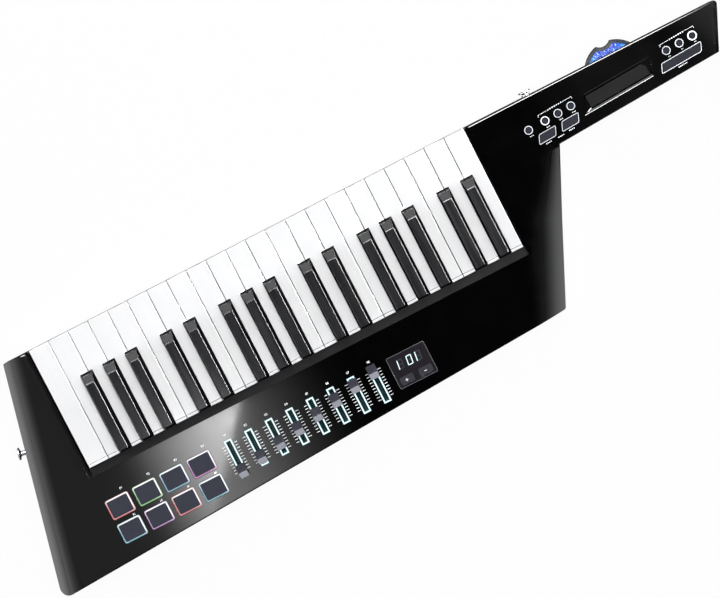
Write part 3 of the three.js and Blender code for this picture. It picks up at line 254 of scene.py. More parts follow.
# Each card over the face: its outline, its least level, and where its sheen starts, ends and how it fades.
FACE_CARDS = {
    "sheen_card": ([(-262, 200), (-400, 200), (-400, -260), (-196, -260), *SHEEN_EDGE[::-1], (-262, -76)],
                   SHEEN_LEAST, ((-262, -100), (-95, -100), SHEEN_ACROSS)),
    "roll_card": ([(-400, 200), (-900, 200), (-900, -260), (-400, -260)],
                  SHEEN_LEAST, ((-400, 0), (-900, 0), ROLL_SHEEN)),
    "fading_card": ([(40, -76), (40, -230), (-196, -230), *SHEEN_EDGE[::-1]],
                    0, ((-150, -120), (40, -120), FADING_SHEEN)),
    "tip_card": ([(340, 110), (340, -60), (620, -60), (620, 110)],
                 0, ((350, -20), (560, 75), TIP_SHEEN)),
}
# Each card at a side, in metres: where it starts and ends, its lower and upper edge, and how bright it is.
SIDE_CARDS = {
    "far_left": ((-2.2, 1.0), (-0.54, 1.2), 1.0, 2.6, 50),
    "far_right": ((-0.12, 1.2), (0.6, 1.2), 1.2, 2.6, 60),
    "far_low": ((-0.7, 1.2), (0.6, 1.2), 0.12, 0.75, 3.2),
    "right": ((1.2, -0.15), (1.2, 0.4), 0.5, 2.5, 225),
    "left": ((-4.2, -0.42), (-4.2, -0.08), 2.3, 4.0, 13),
    "tip_flag": ((0.6, -0.1), (0.6, 0.14), 0.03, 0.5, 0),
}


def on_card(x, y):
    """The place on a card whose mirror image the camera sees at a place on the face."""
    point = spot(x, y, FACE)
    reach = CARD_HEIGHT * MM / (eye.z - FACE * MM)
    return Vector((point.x + (point.x - eye.x) * reach, point.y + (point.y - eye.y) * reach,
                   (FACE + CARD_HEIGHT) * MM))


def glossy_only(name, corners, paint):
    """A flat card that only gloss shows."""
    bm = bmesh.new()
    bm.faces.new([bm.verts.new(corner) for corner in corners])
    made = piece_from(bm, name, [paint])
    made.visible_camera = False
    made.visible_diffuse = False
    made.visible_shadow = False
    made.visible_transmission = False


def glowing(tree):
    """The strength of the light that a card gives off."""
    glow = tree.nodes.new("ShaderNodeEmission")
    out = tree.nodes.new("ShaderNodeOutputMaterial")
    tree.links.new(glow.outputs[0], out.inputs["Surface"])
    return glow.inputs["Strength"]


for name, (outline, least, (start, end, stops)) in FACE_CARDS.items():
    paint, tree = bare_material(name + "_paint")
    place = tree.nodes.new("ShaderNodeTexCoord").outputs["Object"]
    first = on_card(*start)
    run = on_card(*end) - first
    share = along(tree, place, run / run.length_squared)
    share = worked(tree, "SUBTRACT", share, first.dot(run) / run.length_squared)
    level = worked(tree, "MAXIMUM", ramped(tree, share, stops), least)
    tree.links.new(level, glowing(tree))
    glossy_only(name, [on_card(*corner) for corner in outline], paint)
for name, (start, end, low, high, strength) in SIDE_CARDS.items():
    paint, tree = bare_material(name + "_card_paint")
    glowing(tree).default_value = strength
    glossy_only(name + "_card", [(*start, low), (*end, low), (*end, high), (*start, high)], paint)

# Rear shell: black moulding with the fine leather-like grain of a back panel. Eight sunk screws with a cross
# recess hold it to the front shell, and a lid with finger ribs closes the battery bay.
JOINED_WITHIN = 2e-6
FLAT_WITHIN = 0.5
REAR_EDGE = 0.5
SCREW_PLACES = ((-286.4, 27.0), (-308.0, -63.9), (-329.7, -154.9), (-118.7, -163.3), (17.5, -156.1),
                (240.4, -144.4), (281.4, -87.9), (312.7, -19.6))
SCREW_RADIUS = 2.7
SCREW_ARM = 1.5
SCREW_SLOT = 0.35
SCREW_HEAD = 0.7
SCREW_RECESS = 0.56
SCREW_RECESS_TAPER = 0.6
SCREW_SUNK = 3.2
SCREW_TURN_STEP = 0.7
LID_EDGE = 0.3
LID_RIBS = 7
LID_RIB = (1.0, 22.0, 0.3)
LID_RIB_ROUND = 0.45
LID_RIB_PITCH = 2.6
LID_RIBS_FROM_EDGE = 7


def merged(node):
    """A copy of a CAD solid with its loose triangles joined into faces."""
    bm = bmesh.new()
    bm.from_mesh(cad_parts[node].data)
    bmesh.ops.remove_doubles(bm, verts=bm.verts, dist=JOINED_WITHIN)
    bmesh.ops.dissolve_limit(bm, angle_limit=math.radians(FLAT_WITHIN), verts=bm.verts, edges=bm.edges,
                             use_dissolve_boundaries=False, delimit=set())
    return bm


def round_edges(bm, width, segments=2, least=24, chosen=lambda edge: True):
    """Rounds the edges that turn by more than the least angle, in degrees. The width is in millimetres."""
    edges = [e for e in bm.edges if e.is_manifold and e.calc_face_angle() > math.radians(least) and chosen(e)]
    return bmesh.ops.bevel(bm, geom=edges, offset=width * MM, offset_type="OFFSET", segments=segments,
                           profile=0.5, affect="EDGES", material=-1, clamp_overlap=True)


def shade(made, angle=35):
    """Smooth shading that breaks at sharp edges and keeps flat faces flat."""
    made.data.shade_smooth()
    made.data.set_sharp_from_angle(angle=math.radians(angle))
    weight = made.modifiers.new("flat_faces", "WEIGHTED_NORMAL")
    weight.keep_sharp = True
    return made


def noise(tree, place, scale, detail=2.0):
    """Soft patches, from 0 to 1."""
    node = tree.nodes.new("ShaderNodeTexNoise")
    node.inputs["Scale"].default_value = scale
    node.inputs["Detail"].default_value = detail
    tree.links.new(place, node.inputs["Vector"])
    return node.outputs["Fac"]


def between(tree, value, low, high, start=0.3, end=0.7):
    """From low, where the value is at the start, to high, where it is at the end."""
    node = tree.nodes.new("ShaderNodeMapRange")
    node.inputs["From Min"].default_value = start
    node.inputs["From Max"].default_value = end
    node.inputs["To Min"].default_value = low
    node.inputs["To Max"].default_value = high
    tree.links.new(value, node.inputs["Value"])
    return node.outputs["Result"]


def moulded(name, colour, tint, rough, grain, depth, spread=40.0, metallic=0.0, stretch=(1, 1, 1), shine=0.5):
    """Plastic, rubber or metal whose colour and gloss wander a little, with a fine grain pressed into it.

    Rough is the range of its roughness, grain how fine the grain is, depth the grain's depth in millimetres,
    spread how fine the patches of colour are, stretch draws all of them out, and shine is how strongly it
    mirrors.
    """
    material = bpy.data.materials.new(name)
    material.use_nodes = True
    tree = material.node_tree
    surface = tree.nodes["Principled BSDF"]
    surface.inputs["Metallic"].default_value = metallic
    surface.inputs["Specular IOR Level"].default_value = shine
    place = tree.nodes.new("ShaderNodeTexCoord").outputs["Object"]
    drawn_out = tree.nodes.new("ShaderNodeMapping")
    drawn_out.inputs["Scale"].default_value = stretch
    tree.links.new(place, drawn_out.inputs["Vector"])
    patches = noise(tree, drawn_out.outputs[0], spread, 3)
    tree.links.new(blended(tree, patches, colour, tint), surface.inputs["Base Color"])
    tree.links.new(between(tree, patches, *rough), surface.inputs["Roughness"])
    relief = tree.nodes.new("ShaderNodeBump")
    relief.inputs["Distance"].default_value = depth * MM
    tree.links.new(noise(tree, drawn_out.outputs[0], grain), relief.inputs["Height"])
    tree.links.new(relief.outputs["Normal"], surface.inputs["Normal"])
    return material


def fit(made, body, slot, *nodes_replaced):
    """Fixes a piece to its body and hides the solids that it stands for. Its slot, the finish, is not used.
    """
    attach(made, body)
    if nodes_replaced:
        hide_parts(*nodes_replaced)
    return made


def cross_head(bm, frame_matrix):
    """A round screw head with a cross recess, its top face at the frame's origin and facing its Z."""
    stations = (-SCREW_RADIUS, -SCREW_ARM, -SCREW_SLOT, SCREW_SLOT, SCREW_ARM, SCREW_RADIUS)
    cells = len(stations) - 1
    made = bmesh.ops.create_grid(bm, x_segments=cells, y_segments=cells, size=cells / 2)
    verts = made["verts"]
    faces = {face for vert in verts for face in vert.link_faces}
    recess = []
    for face in faces:
        near, far = sorted(round(abs(middle)) for middle in face.calc_center_median()[:2])
        if near == 0 and far < cells // 2:
            recess.append(face)
    for vert in verts:
        column, row = (round(place + cells / 2) for place in vert.co[:2])
        vert.co.x = stations[column]
        vert.co.y = stations[row]
        if 0 in (column, row) or cells in (column, row):
            vert.co = vert.co.normalized() * SCREW_RADIUS
    rim = [edge for edge in {e for face in faces for e in face.edges} if edge.is_boundary]
    skirt = bmesh.ops.extrude_edge_only(bm, edges=rim)
    skirt_verts = [part for part in skirt["geom"] if isinstance(part, bmesh.types.BMVert)]
    bmesh.ops.translate(bm, verts=skirt_verts, vec=(0, 0, -SCREW_HEAD))
    foot = [part for part in skirt["geom"] if isinstance(part, bmesh.types.BMEdge) and part.is_boundary]
    bmesh.ops.contextual_create(bm, geom=foot)
    sunk = bmesh.ops.extrude_face_region(bm, geom=recess)
    sunk_verts = [part for part in sunk["geom"] if isinstance(part, bmesh.types.BMVert)]
    bmesh.ops.translate(bm, verts=sunk_verts, vec=(0, 0, -SCREW_RECESS))
    bmesh.ops.scale(bm, verts=sunk_verts, vec=(SCREW_RECESS_TAPER, SCREW_RECESS_TAPER, 1))
    bmesh.ops.delete(bm, geom=recess, context="FACES")
    bmesh.ops.transform(bm, matrix=frame_matrix @ Matrix.Scale(MM, 4), verts=verts + skirt_verts + sunk_verts)


grained_black = moulded("grained_black_plastic", (0.010, 0.010, 0.011), (0.014, 0.014, 0.015),
                        rough=(0.38, 0.52), grain=1500, depth=0.06)
rear = merged("rear_shell")
round_edges(rear, REAR_EDGE)
fit(shade(piece_from(rear, "rear_cover", [grained_black])), "instrument", "shell_plastic", "rear_shell")

screw_steel = moulded("blackened_steel", (0.12, 0.12, 0.125), (0.18, 0.18, 0.18), rough=(0.25, 0.4),
                      grain=2500, depth=0.01, metallic=1.0)
for number, (x, y) in enumerate(SCREW_PLACES):
    bm = bmesh.new()
    turn = Matrix.Rotation(math.pi, 4, "X") @ Matrix.Rotation(number * SCREW_TURN_STEP, 4, "Z")
    cross_head(bm, Matrix.Translation(spot(x, y, SCREW_SUNK)) @ turn)
    bmesh.ops.recalc_face_normals(bm, faces=bm.faces)
    fit(shade(piece_from(bm, f"case_screw_{number + 1}", [screw_steel])), "instrument", "strap_metal")


def flat_face(bm, corners, radius=0.0, segments=4):
    """A flat face through a few corners in metres, which are rounded by a radius in millimetres."""
    corner_verts = [bm.verts.new(corner) for corner in corners]
    face = bm.faces.new(corner_verts)
    if radius:
        made = bmesh.ops.bevel(bm, geom=corner_verts, offset=radius * MM, offset_type="OFFSET",
                               segments=segments, profile=0.5, affect="VERTICES", material=-1,
                               clamp_overlap=True)
        face = made["verts"][0].link_faces[0]
    face.normal_update()
    if face.normal.z < 0:
        face.normal_flip()
    return face


def oblong(bm, centre, width, height, radius=0.0, turn=0.0, skew=0.0):
    """A rounded rectangle or leaning four-sided face about a centre, its sizes in millimetres."""
    corners = []
    for across, up in ((-1, -1), (1, -1), (1, 1), (-1, 1)):
        corner = Vector((across * width / 2 + up * skew / 2, up * height / 2, 0)) * MM
        corner.rotate(Matrix.Rotation(turn, 3, "Z"))
        corners.append(centre + corner)
    return flat_face(bm, corners, radius)


def raised(bm, faces, height):
    """Draws flat faces up into a closed solid."""
    made = bmesh.ops.extrude_face_region(bm, geom=faces, use_keep_orig=True)
    moved = [part for part in made["geom"] if isinstance(part, bmesh.types.BMVert)]
    bmesh.ops.translate(bm, verts=moved, vec=(0, 0, height * MM))
    bmesh.ops.recalc_face_normals(bm, faces=bm.faces)


lid_plastic = moulded("battery_lid_plastic", (0.011, 0.011, 0.012), (0.015, 0.015, 0.016),
                      rough=(0.4, 0.55), grain=1500, depth=0.06)
lid_low, lid_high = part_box("battery_door")
lid = merged("battery_door")
round_edges(lid, LID_EDGE)
fit(shade(piece_from(lid, "battery_lid", [lid_plastic])), "battery_door", "shell_plastic", "battery_door")
bm = bmesh.new()
for rib in range(LID_RIBS):
    x = (lid_low.x + lid_high.x) / 2 + (rib - (LID_RIBS - 1) / 2) * LID_RIB_PITCH * MM
    y = lid_high.y - (LID_RIBS_FROM_EDGE + LID_RIB[1] / 2) * MM
    foot = Vector((x, y, lid_low.z - LID_RIB[2] * MM))
    raised(bm, [oblong(bm, foot, *LID_RIB[:2], LID_RIB_ROUND)], LID_RIB[2])
fit(shade(piece_from(bm, "battery_lid_ribs", [lid_plastic])), "battery_door", "shell_plastic")

# Main board: green laminate that carries the black fader bodies above it and the sockets below. The sockets
# and the power switch reach through the lower wall. A socket holds its own contacts.
BOARD_TOP = 31.65
BOARD_UNDERSIDE = 29.95
BOARD_GREEN = ((0.01, 0.06, 0.025), (0.015, 0.09, 0.035))
HOUSING_BLACK = (0.012, 0.012, 0.013)
METAL_CAN = (0.5, 0.5, 0.52)
USB = (104.476, -158.042, 24.5)
JACK = (80.509, -159.304, 24.0)
DIN = (56.542, -160.566, 21.0)
LOWER_EDGE_TURN = math.radians(3.014)
USB_HALF = 6.2
TONGUE = (5.6, 2.4, 7.6)
TONGUE_SETBACK = 1.5
TONGUE_EDGE = 0.25
JACK_RING = (3.3, 4.9, 0.5)
JACK_RING_PROUD = 0.15
JACK_RING_SIDES = 32
DIN_PIN = (0.6, 5.5)
DIN_PIN_TAPER = 0.6
DIN_PIN_SIDES = 10
DIN_PIN_CIRCLE = 4.4
DIN_PIN_COUNT = 5
DIN_BORE_DEPTH = 8
SWITCH_EDGE = 0.2

board_paint = moulded("main_board_parts", *BOARD_GREEN, rough=(0.3, 0.4), grain=600, depth=0.01)
tree = board_paint.node_tree
surface = tree.nodes["Principled BSDF"]
place = tree.nodes.new("ShaderNodeTexCoord").outputs["Object"]
height = along(tree, place, (0, 0, 1))
outside = worked(tree, "MAXIMUM", worked(tree, "GREATER_THAN", height, BOARD_TOP * MM),
                 worked(tree, "LESS_THAN", height, BOARD_UNDERSIDE * MM))
across = worked(tree, "SUBTRACT", along(tree, place, (1, 0, 0)), spot(*USB).x)
at_usb = worked(tree, "LESS_THAN", worked(tree, "ABSOLUTE", across), USB_HALF * MM)
metal_can = worked(tree, "MULTIPLY", at_usb, worked(tree, "LESS_THAN", height, BOARD_UNDERSIDE * MM))
housing = blended(tree, metal_can, HOUSING_BLACK, METAL_CAN)
laminate = surface.inputs["Base Color"].links[0].from_socket
tree.links.new(blended(tree, outside, laminate, housing), surface.inputs["Base Color"])
tree.links.new(metal_can, surface.inputs["Metallic"])
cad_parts["main_board"].data.materials.clear()
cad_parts["main_board"].data.materials.append(board_paint)

polished_metal = moulded("polished_metal", (0.34, 0.34, 0.355), (0.42, 0.42, 0.435), rough=(0.24, 0.32),
                         grain=900, depth=0.004, metallic=1.0)
socket_plastic = moulded("socket_plastic", (0.012, 0.012, 0.013), (0.02, 0.02, 0.021), rough=(0.4, 0.5),
                         grain=1500, depth=0.02)
INTO_WALL = Matrix.Rotation(LOWER_EDGE_TURN, 4, "Z") @ Matrix.Rotation(-math.pi / 2, 4, "X")


def into_wall(place, depth=0.0):
    """A frame whose Z runs into the lower wall from a socket's mouth."""
    inwards = Vector((-math.sin(LOWER_EDGE_TURN), math.cos(LOWER_EDGE_TURN), 0))
    return Matrix.Translation(spot(*place) + inwards * depth * MM) @ INTO_WALL


bm = bmesh.new()
bmesh.ops.create_cube(bm, size=1, matrix=into_wall(USB, TONGUE_SETBACK + TONGUE[2] / 2)
                      @ Matrix.Diagonal((*(side * MM for side in TONGUE), 1)))
round_edges(bm, TONGUE_EDGE)
fit(shade(piece_from(bm, "usb_tongue", [socket_plastic])), "instrument", "board_laminate")

bm = bmesh.new()
inner, outer, thick = (size * MM for size in JACK_RING)
section = ((inner, 0, 0), (outer, 0, 0), (outer, 0, thick), (inner, 0, thick))
profile = [bm.verts.new(corner) for corner in section]
ring = [bm.edges.new(pair) for pair in zip(profile, profile[1:] + profile[:1])]
bmesh.ops.spin(bm, geom=profile + ring, cent=(0, 0, 0), axis=(0, 0, 1), angle=2 * math.pi,
               steps=JACK_RING_SIDES, use_merge=True)
bmesh.ops.transform(bm, matrix=into_wall(JACK, -JACK_RING_PROUD), verts=bm.verts)
bmesh.ops.recalc_face_normals(bm, faces=bm.faces)
fit(shade(piece_from(bm, "jack_ring", [polished_metal])), "instrument", "strap_metal")

bm = bmesh.new()
for pin in range(DIN_PIN_COUNT):
    turn = math.pi * pin / (DIN_PIN_COUNT - 1)
    shift = Vector((math.cos(turn), math.sin(turn), 0)) * DIN_PIN_CIRCLE * MM
    middle = into_wall(DIN, DIN_BORE_DEPTH - DIN_PIN[1] / 2) @ Matrix.Translation(shift)
    bmesh.ops.create_cone(bm, cap_ends=True, segments=DIN_PIN_SIDES, radius1=DIN_PIN[0] * MM,
                          radius2=DIN_PIN[0] * DIN_PIN_TAPER * MM, depth=DIN_PIN[1] * MM,
                          matrix=middle @ Matrix.Rotation(math.pi, 4, "X"))
fit(shade(piece_from(bm, "din_pins", [polished_metal])), "instrument", "strap_metal")

switch = merged("power_switch")
round_edges(switch, SWITCH_EDGE)
fit(shade(piece_from(switch, "switch_slider", [socket_plastic])), "power_switch", "switch_plastic",
    "power_switch")

# Front shell: glossy black moulding with the playing face, rolled off along both slanted sides. Its edges
# carry the small round that a mould leaves, and it is screwed to the rear shell from behind.
SHELL_EDGE = 0.35
SHELL_LEAST_TURN = 34
gloss_black = moulded("gloss_black_plastic", (0.0006, 0.0006, 0.0008), (0.0010, 0.0010, 0.0012),
                      rough=(0.05, 0.08), grain=900, depth=0.002)
front = merged("front_shell")
round_edges(front, SHELL_EDGE, least=SHELL_LEAST_TURN)
fit(shade(piece_from(front, "front_cover", [gloss_black])), "instrument", "shell_plastic", "front_shell")

# Key chassis: matte black moulding under the keys, clamped between the shells. Its rail closes the gap
# between the keys and the panel.
CHASSIS_EDGE = 0.4
matte_black = moulded("matte_black_plastic", (0.006, 0.006, 0.007), (0.008, 0.008, 0.009),
                      rough=(0.45, 0.58), grain=1800, depth=0.03, shine=0.03)
bed = merged("key_chassis")
round_edges(bed, CHASSIS_EDGE)
fit(shade(piece_from(bed, "key_bed", [matte_black])), "instrument", "chassis_plastic", "key_chassis")

# White keys: polished white plastic, each one moulding with its lip and tail. The free end reaches just over
# the body's far edge, and a fine groove crosses each key just before the rail, its floor painted dark as
# shade.
WHITE_COUNT = 22
WHITE_TOP = 49.5
WHITE_EDGE = 0.5
GROOVE_Y = -66.0
GROOVE = (0.6, 0.6)
LIP_OVERHANG = 0.45
UPWARDS = 0.3
MARGIN = 0.1
white_plastic = moulded("white_key_plastic", (0.87, 0.87, 0.88), (0.91, 0.91, 0.92), rough=(0.16, 0.22),
                        grain=400, depth=0.003)
# The groove's floor is painted dark: painted shade in the groove.
groove_shade = moulded("groove_shade", (0.06, 0.06, 0.06), (0.09, 0.09, 0.09), rough=(0.6, 0.7), grain=400,
                       depth=0.003, shine=0.0)
top = (WHITE_TOP - MARGIN) * MM
free_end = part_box("white_key_01")[1].y - MARGIN * MM


def on_white_top(edge):
    """Whether an edge lies on a key's playing face or free end."""
    return all(v.co.z > top for v in edge.verts) or all(v.co.y > free_end for v in edge.verts)


for number in range(1, WHITE_COUNT + 1):
    node = f"white_key_{number:02d}"
    key = merged(node)
    bmesh.ops.translate(key, verts=[v for v in key.verts if v.co.y > free_end], vec=(0, LIP_OVERHANG * MM, 0))
    round_edges(key, WHITE_EDGE, segments=3, least=40, chosen=on_white_top)
    for side in (-1, 1):
        bmesh.ops.bisect_plane(key, geom=key.verts[:] + key.edges[:] + key.faces[:],
                               plane_co=spot(0, GROOVE_Y + side * GROOVE[0] / 2), plane_no=(0, 1, 0))
    key.normal_update()
    band = []
    for face in key.faces:
        middle = face.calc_center_median()
        in_groove = abs(middle.y - spot(0, GROOVE_Y).y) < GROOVE[0] / 2 * MM
        if in_groove and face.normal.z > UPWARDS and middle.z > top - WHITE_EDGE * MM:
            band.append(face)
    sunk = bmesh.ops.extrude_face_region(key, geom=band)
    for part in sunk["geom"]:
        if isinstance(part, bmesh.types.BMFace):
            part.material_index = 1
    bmesh.ops.translate(key, verts=[part for part in sunk["geom"] if isinstance(part, bmesh.types.BMVert)],
                        vec=(0, 0, -GROOVE[1] * MM))
    bmesh.ops.delete(key, geom=band, context="FACES")
    fit(shade(piece_from(key, f"white_key_cap_{number:02d}", [white_plastic, groove_shade])), node,
        "white_key_plastic", node)

# Black keys: satin black plastic with a faint grain drawn out along each key, a short sloped nose and rounded
# shoulders. Their upright sides take a matte copy of the plastic that mirrors nothing, painted shade that
# keeps them black. They rock on the chassis ridge as the white keys do.
BLACK_COUNT = 15
BLACK_EDGE = 0.85
BLACK_SKIRT = 0.5
SIDE_SLOPE = 0.93
black_plastic = moulded("black_key_plastic", (0.004, 0.004, 0.005), (0.0075, 0.0075, 0.0092),
                        rough=(0.18, 0.24), grain=2200, depth=0.009, spread=300, stretch=(1, 0.06, 1),
                        shine=0.35)
black_side_painted_shade = moulded("black_key_side", (0.007, 0.007, 0.009), (0.010, 0.010, 0.012), rough=(0.5, 0.6),
                     grain=2200, depth=0.02, shine=0.0)
skirt_top = (WHITE_TOP + BLACK_SKIRT) * MM


def over_skirt(edge):
    """Whether an edge reaches over the skirt of a black key."""
    return any(v.co.z > skirt_top for v in edge.verts)


for number in range(1, BLACK_COUNT + 1):
    node = f"black_key_{number:02d}"
    key = merged(node)
    round_edges(key, BLACK_EDGE, segments=3, least=20, chosen=over_skirt)
    # Faces that stand upright take the matte copy, painted shade.
    for face in key.faces:
        face.normal_update()
        face.material_index = 1 if abs(face.normal.x) > SIDE_SLOPE else 0
    fit(shade(piece_from(key, f"black_key_cap_{number:02d}", [black_plastic, black_side_painted_shade])), node,
        "black_key_plastic", node)

# Drum pads: eight soft grey pads of one silicone mat, struck with the fingers. Each stands in a collar of
# clear silicone lit from below, which glows in the pad's colour and runs to white where the light is
# strongest.
PAD_FIRST = (-247.7, -119.7)
PAD_PITCH = (32.48, 28.1)
PAD_COLUMNS = 4
PAD_FLANGE = (27.1, 22.4, 2.25)
PAD_WALL = (24.5, 19.8, 1.9)
FLANGE_TOP = 47.35
COLLAR_TOP = 47.8
COLLAR_WALL_TOP = 49.9
COLLAR_FRINGE = 0.45
COLLAR_CORE = 0.85
COLLAR_WALL = 0.25
COLLAR_JOINT = 0.02
PAD_EDGE = 0.7
PAD_COLOURS = ((0.75, 0.06, 0.08), (0.12, 0.5, 0.06), (0.03, 0.36, 0.55), (0.5, 0.08, 0.45),
               (0.08, 0.42, 0.52), (0.4, 0.1, 0.48), (0.75, 0.06, 0.08), (0.03, 0.36, 0.5))
GLOW_WHITE = (0.93, 0.95, 0.97)
GLOW_CORE_SHARES = (0.18, 0.54)
GLOW_PALE_SHARES = (0.45, 0.5)
GLOW_RUN = Vector((0.55, 0.83, 0)).normalized() / (15 * MM)
GLOW_ENDS = (-0.4, 0.35)
FRINGE_STRENGTH = 0.5
UNLIT_SHARE = 0.12
LAMP_SHARES = (0.9, 1.08)
LAMP_PATCHES = 120
MARK_HEIGHT = 0.12
BOLD = 0.06
SAME_POINT = 1e-6
PAD_FIGURE_SHIFTS = ((9.5, 16.9), (9.0, 13.3))
PAD_FIGURE_SIZES = (3.4, 2.9)


def above(height):
    """Chooses the edges that lie wholly above a height."""
    return lambda edge: all(v.co.z > height for v in edge.verts)


def border(bm, face, *widths):
    """Insets a face by each width in turn, drops the middle and returns the rings, outermost first."""
    rings = []
    for width in widths:
        made = bmesh.ops.inset_region(bm, faces=[face], thickness=width * MM, depth=0, use_even_offset=True,
                                      use_boundary=True)
        rings.append(made["faces"])
    bmesh.ops.delete(bm, geom=[face], context="FACES_ONLY")
    return rings


def lit(name, colour, strength, second=None, second_share=None):
    """A clear moulding lit from below, a little brighter in patches where a lamp sits under it."""
    dark = tuple(level * UNLIT_SHARE for level in colour)
    material = moulded(name, dark, dark, rough=(0.3, 0.45), grain=900, depth=0.01)
    tree = material.node_tree
    surface = tree.nodes["Principled BSDF"]
    place = tree.nodes.new("ShaderNodeTexCoord").outputs["Object"]
    if second:
        rising = blended(tree, second_share(tree, place), colour, second)
        tree.links.new(rising, surface.inputs["Emission Color"])
    else:
        surface.inputs["Emission Color"].default_value = (*colour, 1)
    low, high = (strength * share for share in LAMP_SHARES)
    lamps = between(tree, noise(tree, place, LAMP_PATCHES), low, high)
    tree.links.new(lamps, surface.inputs["Emission Strength"])
    return material


def figures(bm, text, centre, size):
    """Flat printed figures about a place on the face."""
    curve = bpy.data.curves.new(text, "FONT")
    curve.body = text
    curve.size = size * MM
    curve.offset = BOLD * MM
    curve.align_x = "CENTER"
    curve.align_y = "CENTER"
    letters = bpy.data.objects.new(text, curve)
    bpy.context.scene.collection.objects.link(letters)
    mesh = bpy.data.meshes.new_from_object(letters)
    bpy.data.objects.remove(letters)
    mesh.transform(Matrix.Translation(centre))
    before = set(bm.faces)
    bm.from_mesh(mesh)
    bpy.data.meshes.remove(mesh)
    bmesh.ops.remove_doubles(bm, verts=bm.verts, dist=SAME_POINT)
    raised(bm, [face for face in bm.faces if face not in before], MARK_HEIGHT)


pad_rubber = moulded("pad_rubber", (0.044, 0.046, 0.063), (0.054, 0.056, 0.075), rough=(0.6, 0.75),
                     grain=2500, depth=0.03, shine=0.0)
white_print = moulded("white_print", (0.76, 0.8, 0.82), (0.88, 0.91, 0.93), rough=(0.4, 0.5), grain=1500,
                      depth=0.01)
mat = merged("drum_pad_mat")
pad_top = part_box("drum_pad_mat")[1].z - MARGIN * MM
round_edges(mat, PAD_EDGE, segments=3, least=40, chosen=above(pad_top))
fit(shade(piece_from(mat, "drum_pads", [pad_rubber])), "drum_pads", "pad_rubber", "drum_pad_mat")


def up_right(middle):
    """A share that rises over the pad round a place, from its lower left corner to its upper right."""
    def share(tree, place):
        run = worked(tree, "SUBTRACT", along(tree, place, GLOW_RUN), middle.dot(GLOW_RUN))
        return between(tree, run, 0, 1, *GLOW_ENDS)
    return share


def lightened(colour, shares):
    """A colour with a share of white and a share of itself."""
    white, own = shares
    return tuple(white + own * level for level in colour)


figure_print = bmesh.new()
for number, colour in enumerate(PAD_COLOURS):
    row, column = divmod(number, PAD_COLUMNS)
    x = PAD_FIRST[0] + column * PAD_PITCH[0]
    y = PAD_FIRST[1] - row * PAD_PITCH[1]
    rise = up_right(spot(x, y))
    core = lightened(colour, GLOW_CORE_SHARES)
    pale = lightened(colour, GLOW_PALE_SHARES)
    glow = lit(f"pad_glow_{number + 1}", core, 1.0, GLOW_WHITE, rise)
    fringe = lit(f"pad_fringe_{number + 1}", colour, FRINGE_STRENGTH, pale, rise)
    bm = bmesh.new()
    collar = border(bm, oblong(bm, spot(x, y, FLANGE_TOP), *PAD_FLANGE), COLLAR_FRINGE, COLLAR_CORE)
    for ring_face in collar[0]:
        ring_face.material_index = 1
    raised(bm, collar[0] + collar[1], COLLAR_TOP - FLANGE_TOP)
    wall = border(bm, oblong(bm, spot(x, y, COLLAR_TOP + COLLAR_JOINT), *PAD_WALL), COLLAR_WALL)
    raised(bm, wall[0], COLLAR_WALL_TOP - COLLAR_TOP)
    fit(shade(piece_from(bm, f"pad_collar_{number + 1}", [glow, fringe])), "drum_pads", "pad_rubber")
    right, up = PAD_FIGURE_SHIFTS[row]
    figures(figure_print, f"0{number + 1}", spot(x + right, y + up, FACE), PAD_FIGURE_SIZES[row])
fit(piece_from(figure_print, "pad_figures", [white_print]), "instrument", "shell_plastic")

# Faders: slide potentiometers on the board, with a grey cap pressed on each stem. The cap's far slope is dark
# and its near slope pale, painted shade and painted light for light falling from the near side. Each slot has
# a lit frame, ten printed ticks a side and two felt lips against dust.
FADER_COUNT = 8
FADER_FIRST = -114.36
FADER_PITCH = 24.4
FADER_MIDDLE = -129.95
SLOT = (4.9, 38.1)
FRAME_FRINGE = 0.25
FRAME_CORE = 1.4
TICKS = 10
TICK_PITCH = 3.4
TICK = (3.5, 0.62)
TICK_FROM_MIDDLE = 7.1
FADER_FIGURE_Y = -103.7
FADER_FIGURE_SHIFT = 0.1
FADER_FIGURE_SIZE = 3.4
CAP_EDGE = 0.4
CAP_CREST_SHIFT = 0.3
CAP_SKIRT = 0.9
FELT = (3.4, 40.0, 0.6)
FELT_FROM_MIDDLE = 2.6
FELT_FOOT = 44.75


def light_line(bm, face, fringe, core, height):
    """A raised line round a face: a bright core between two coloured fringes."""
    outer, middle, inner = border(bm, face, fringe, core, fringe)
    for ring_face in outer + inner:
        ring_face.material_index = 1
    raised(bm, outer + middle + inner, height)


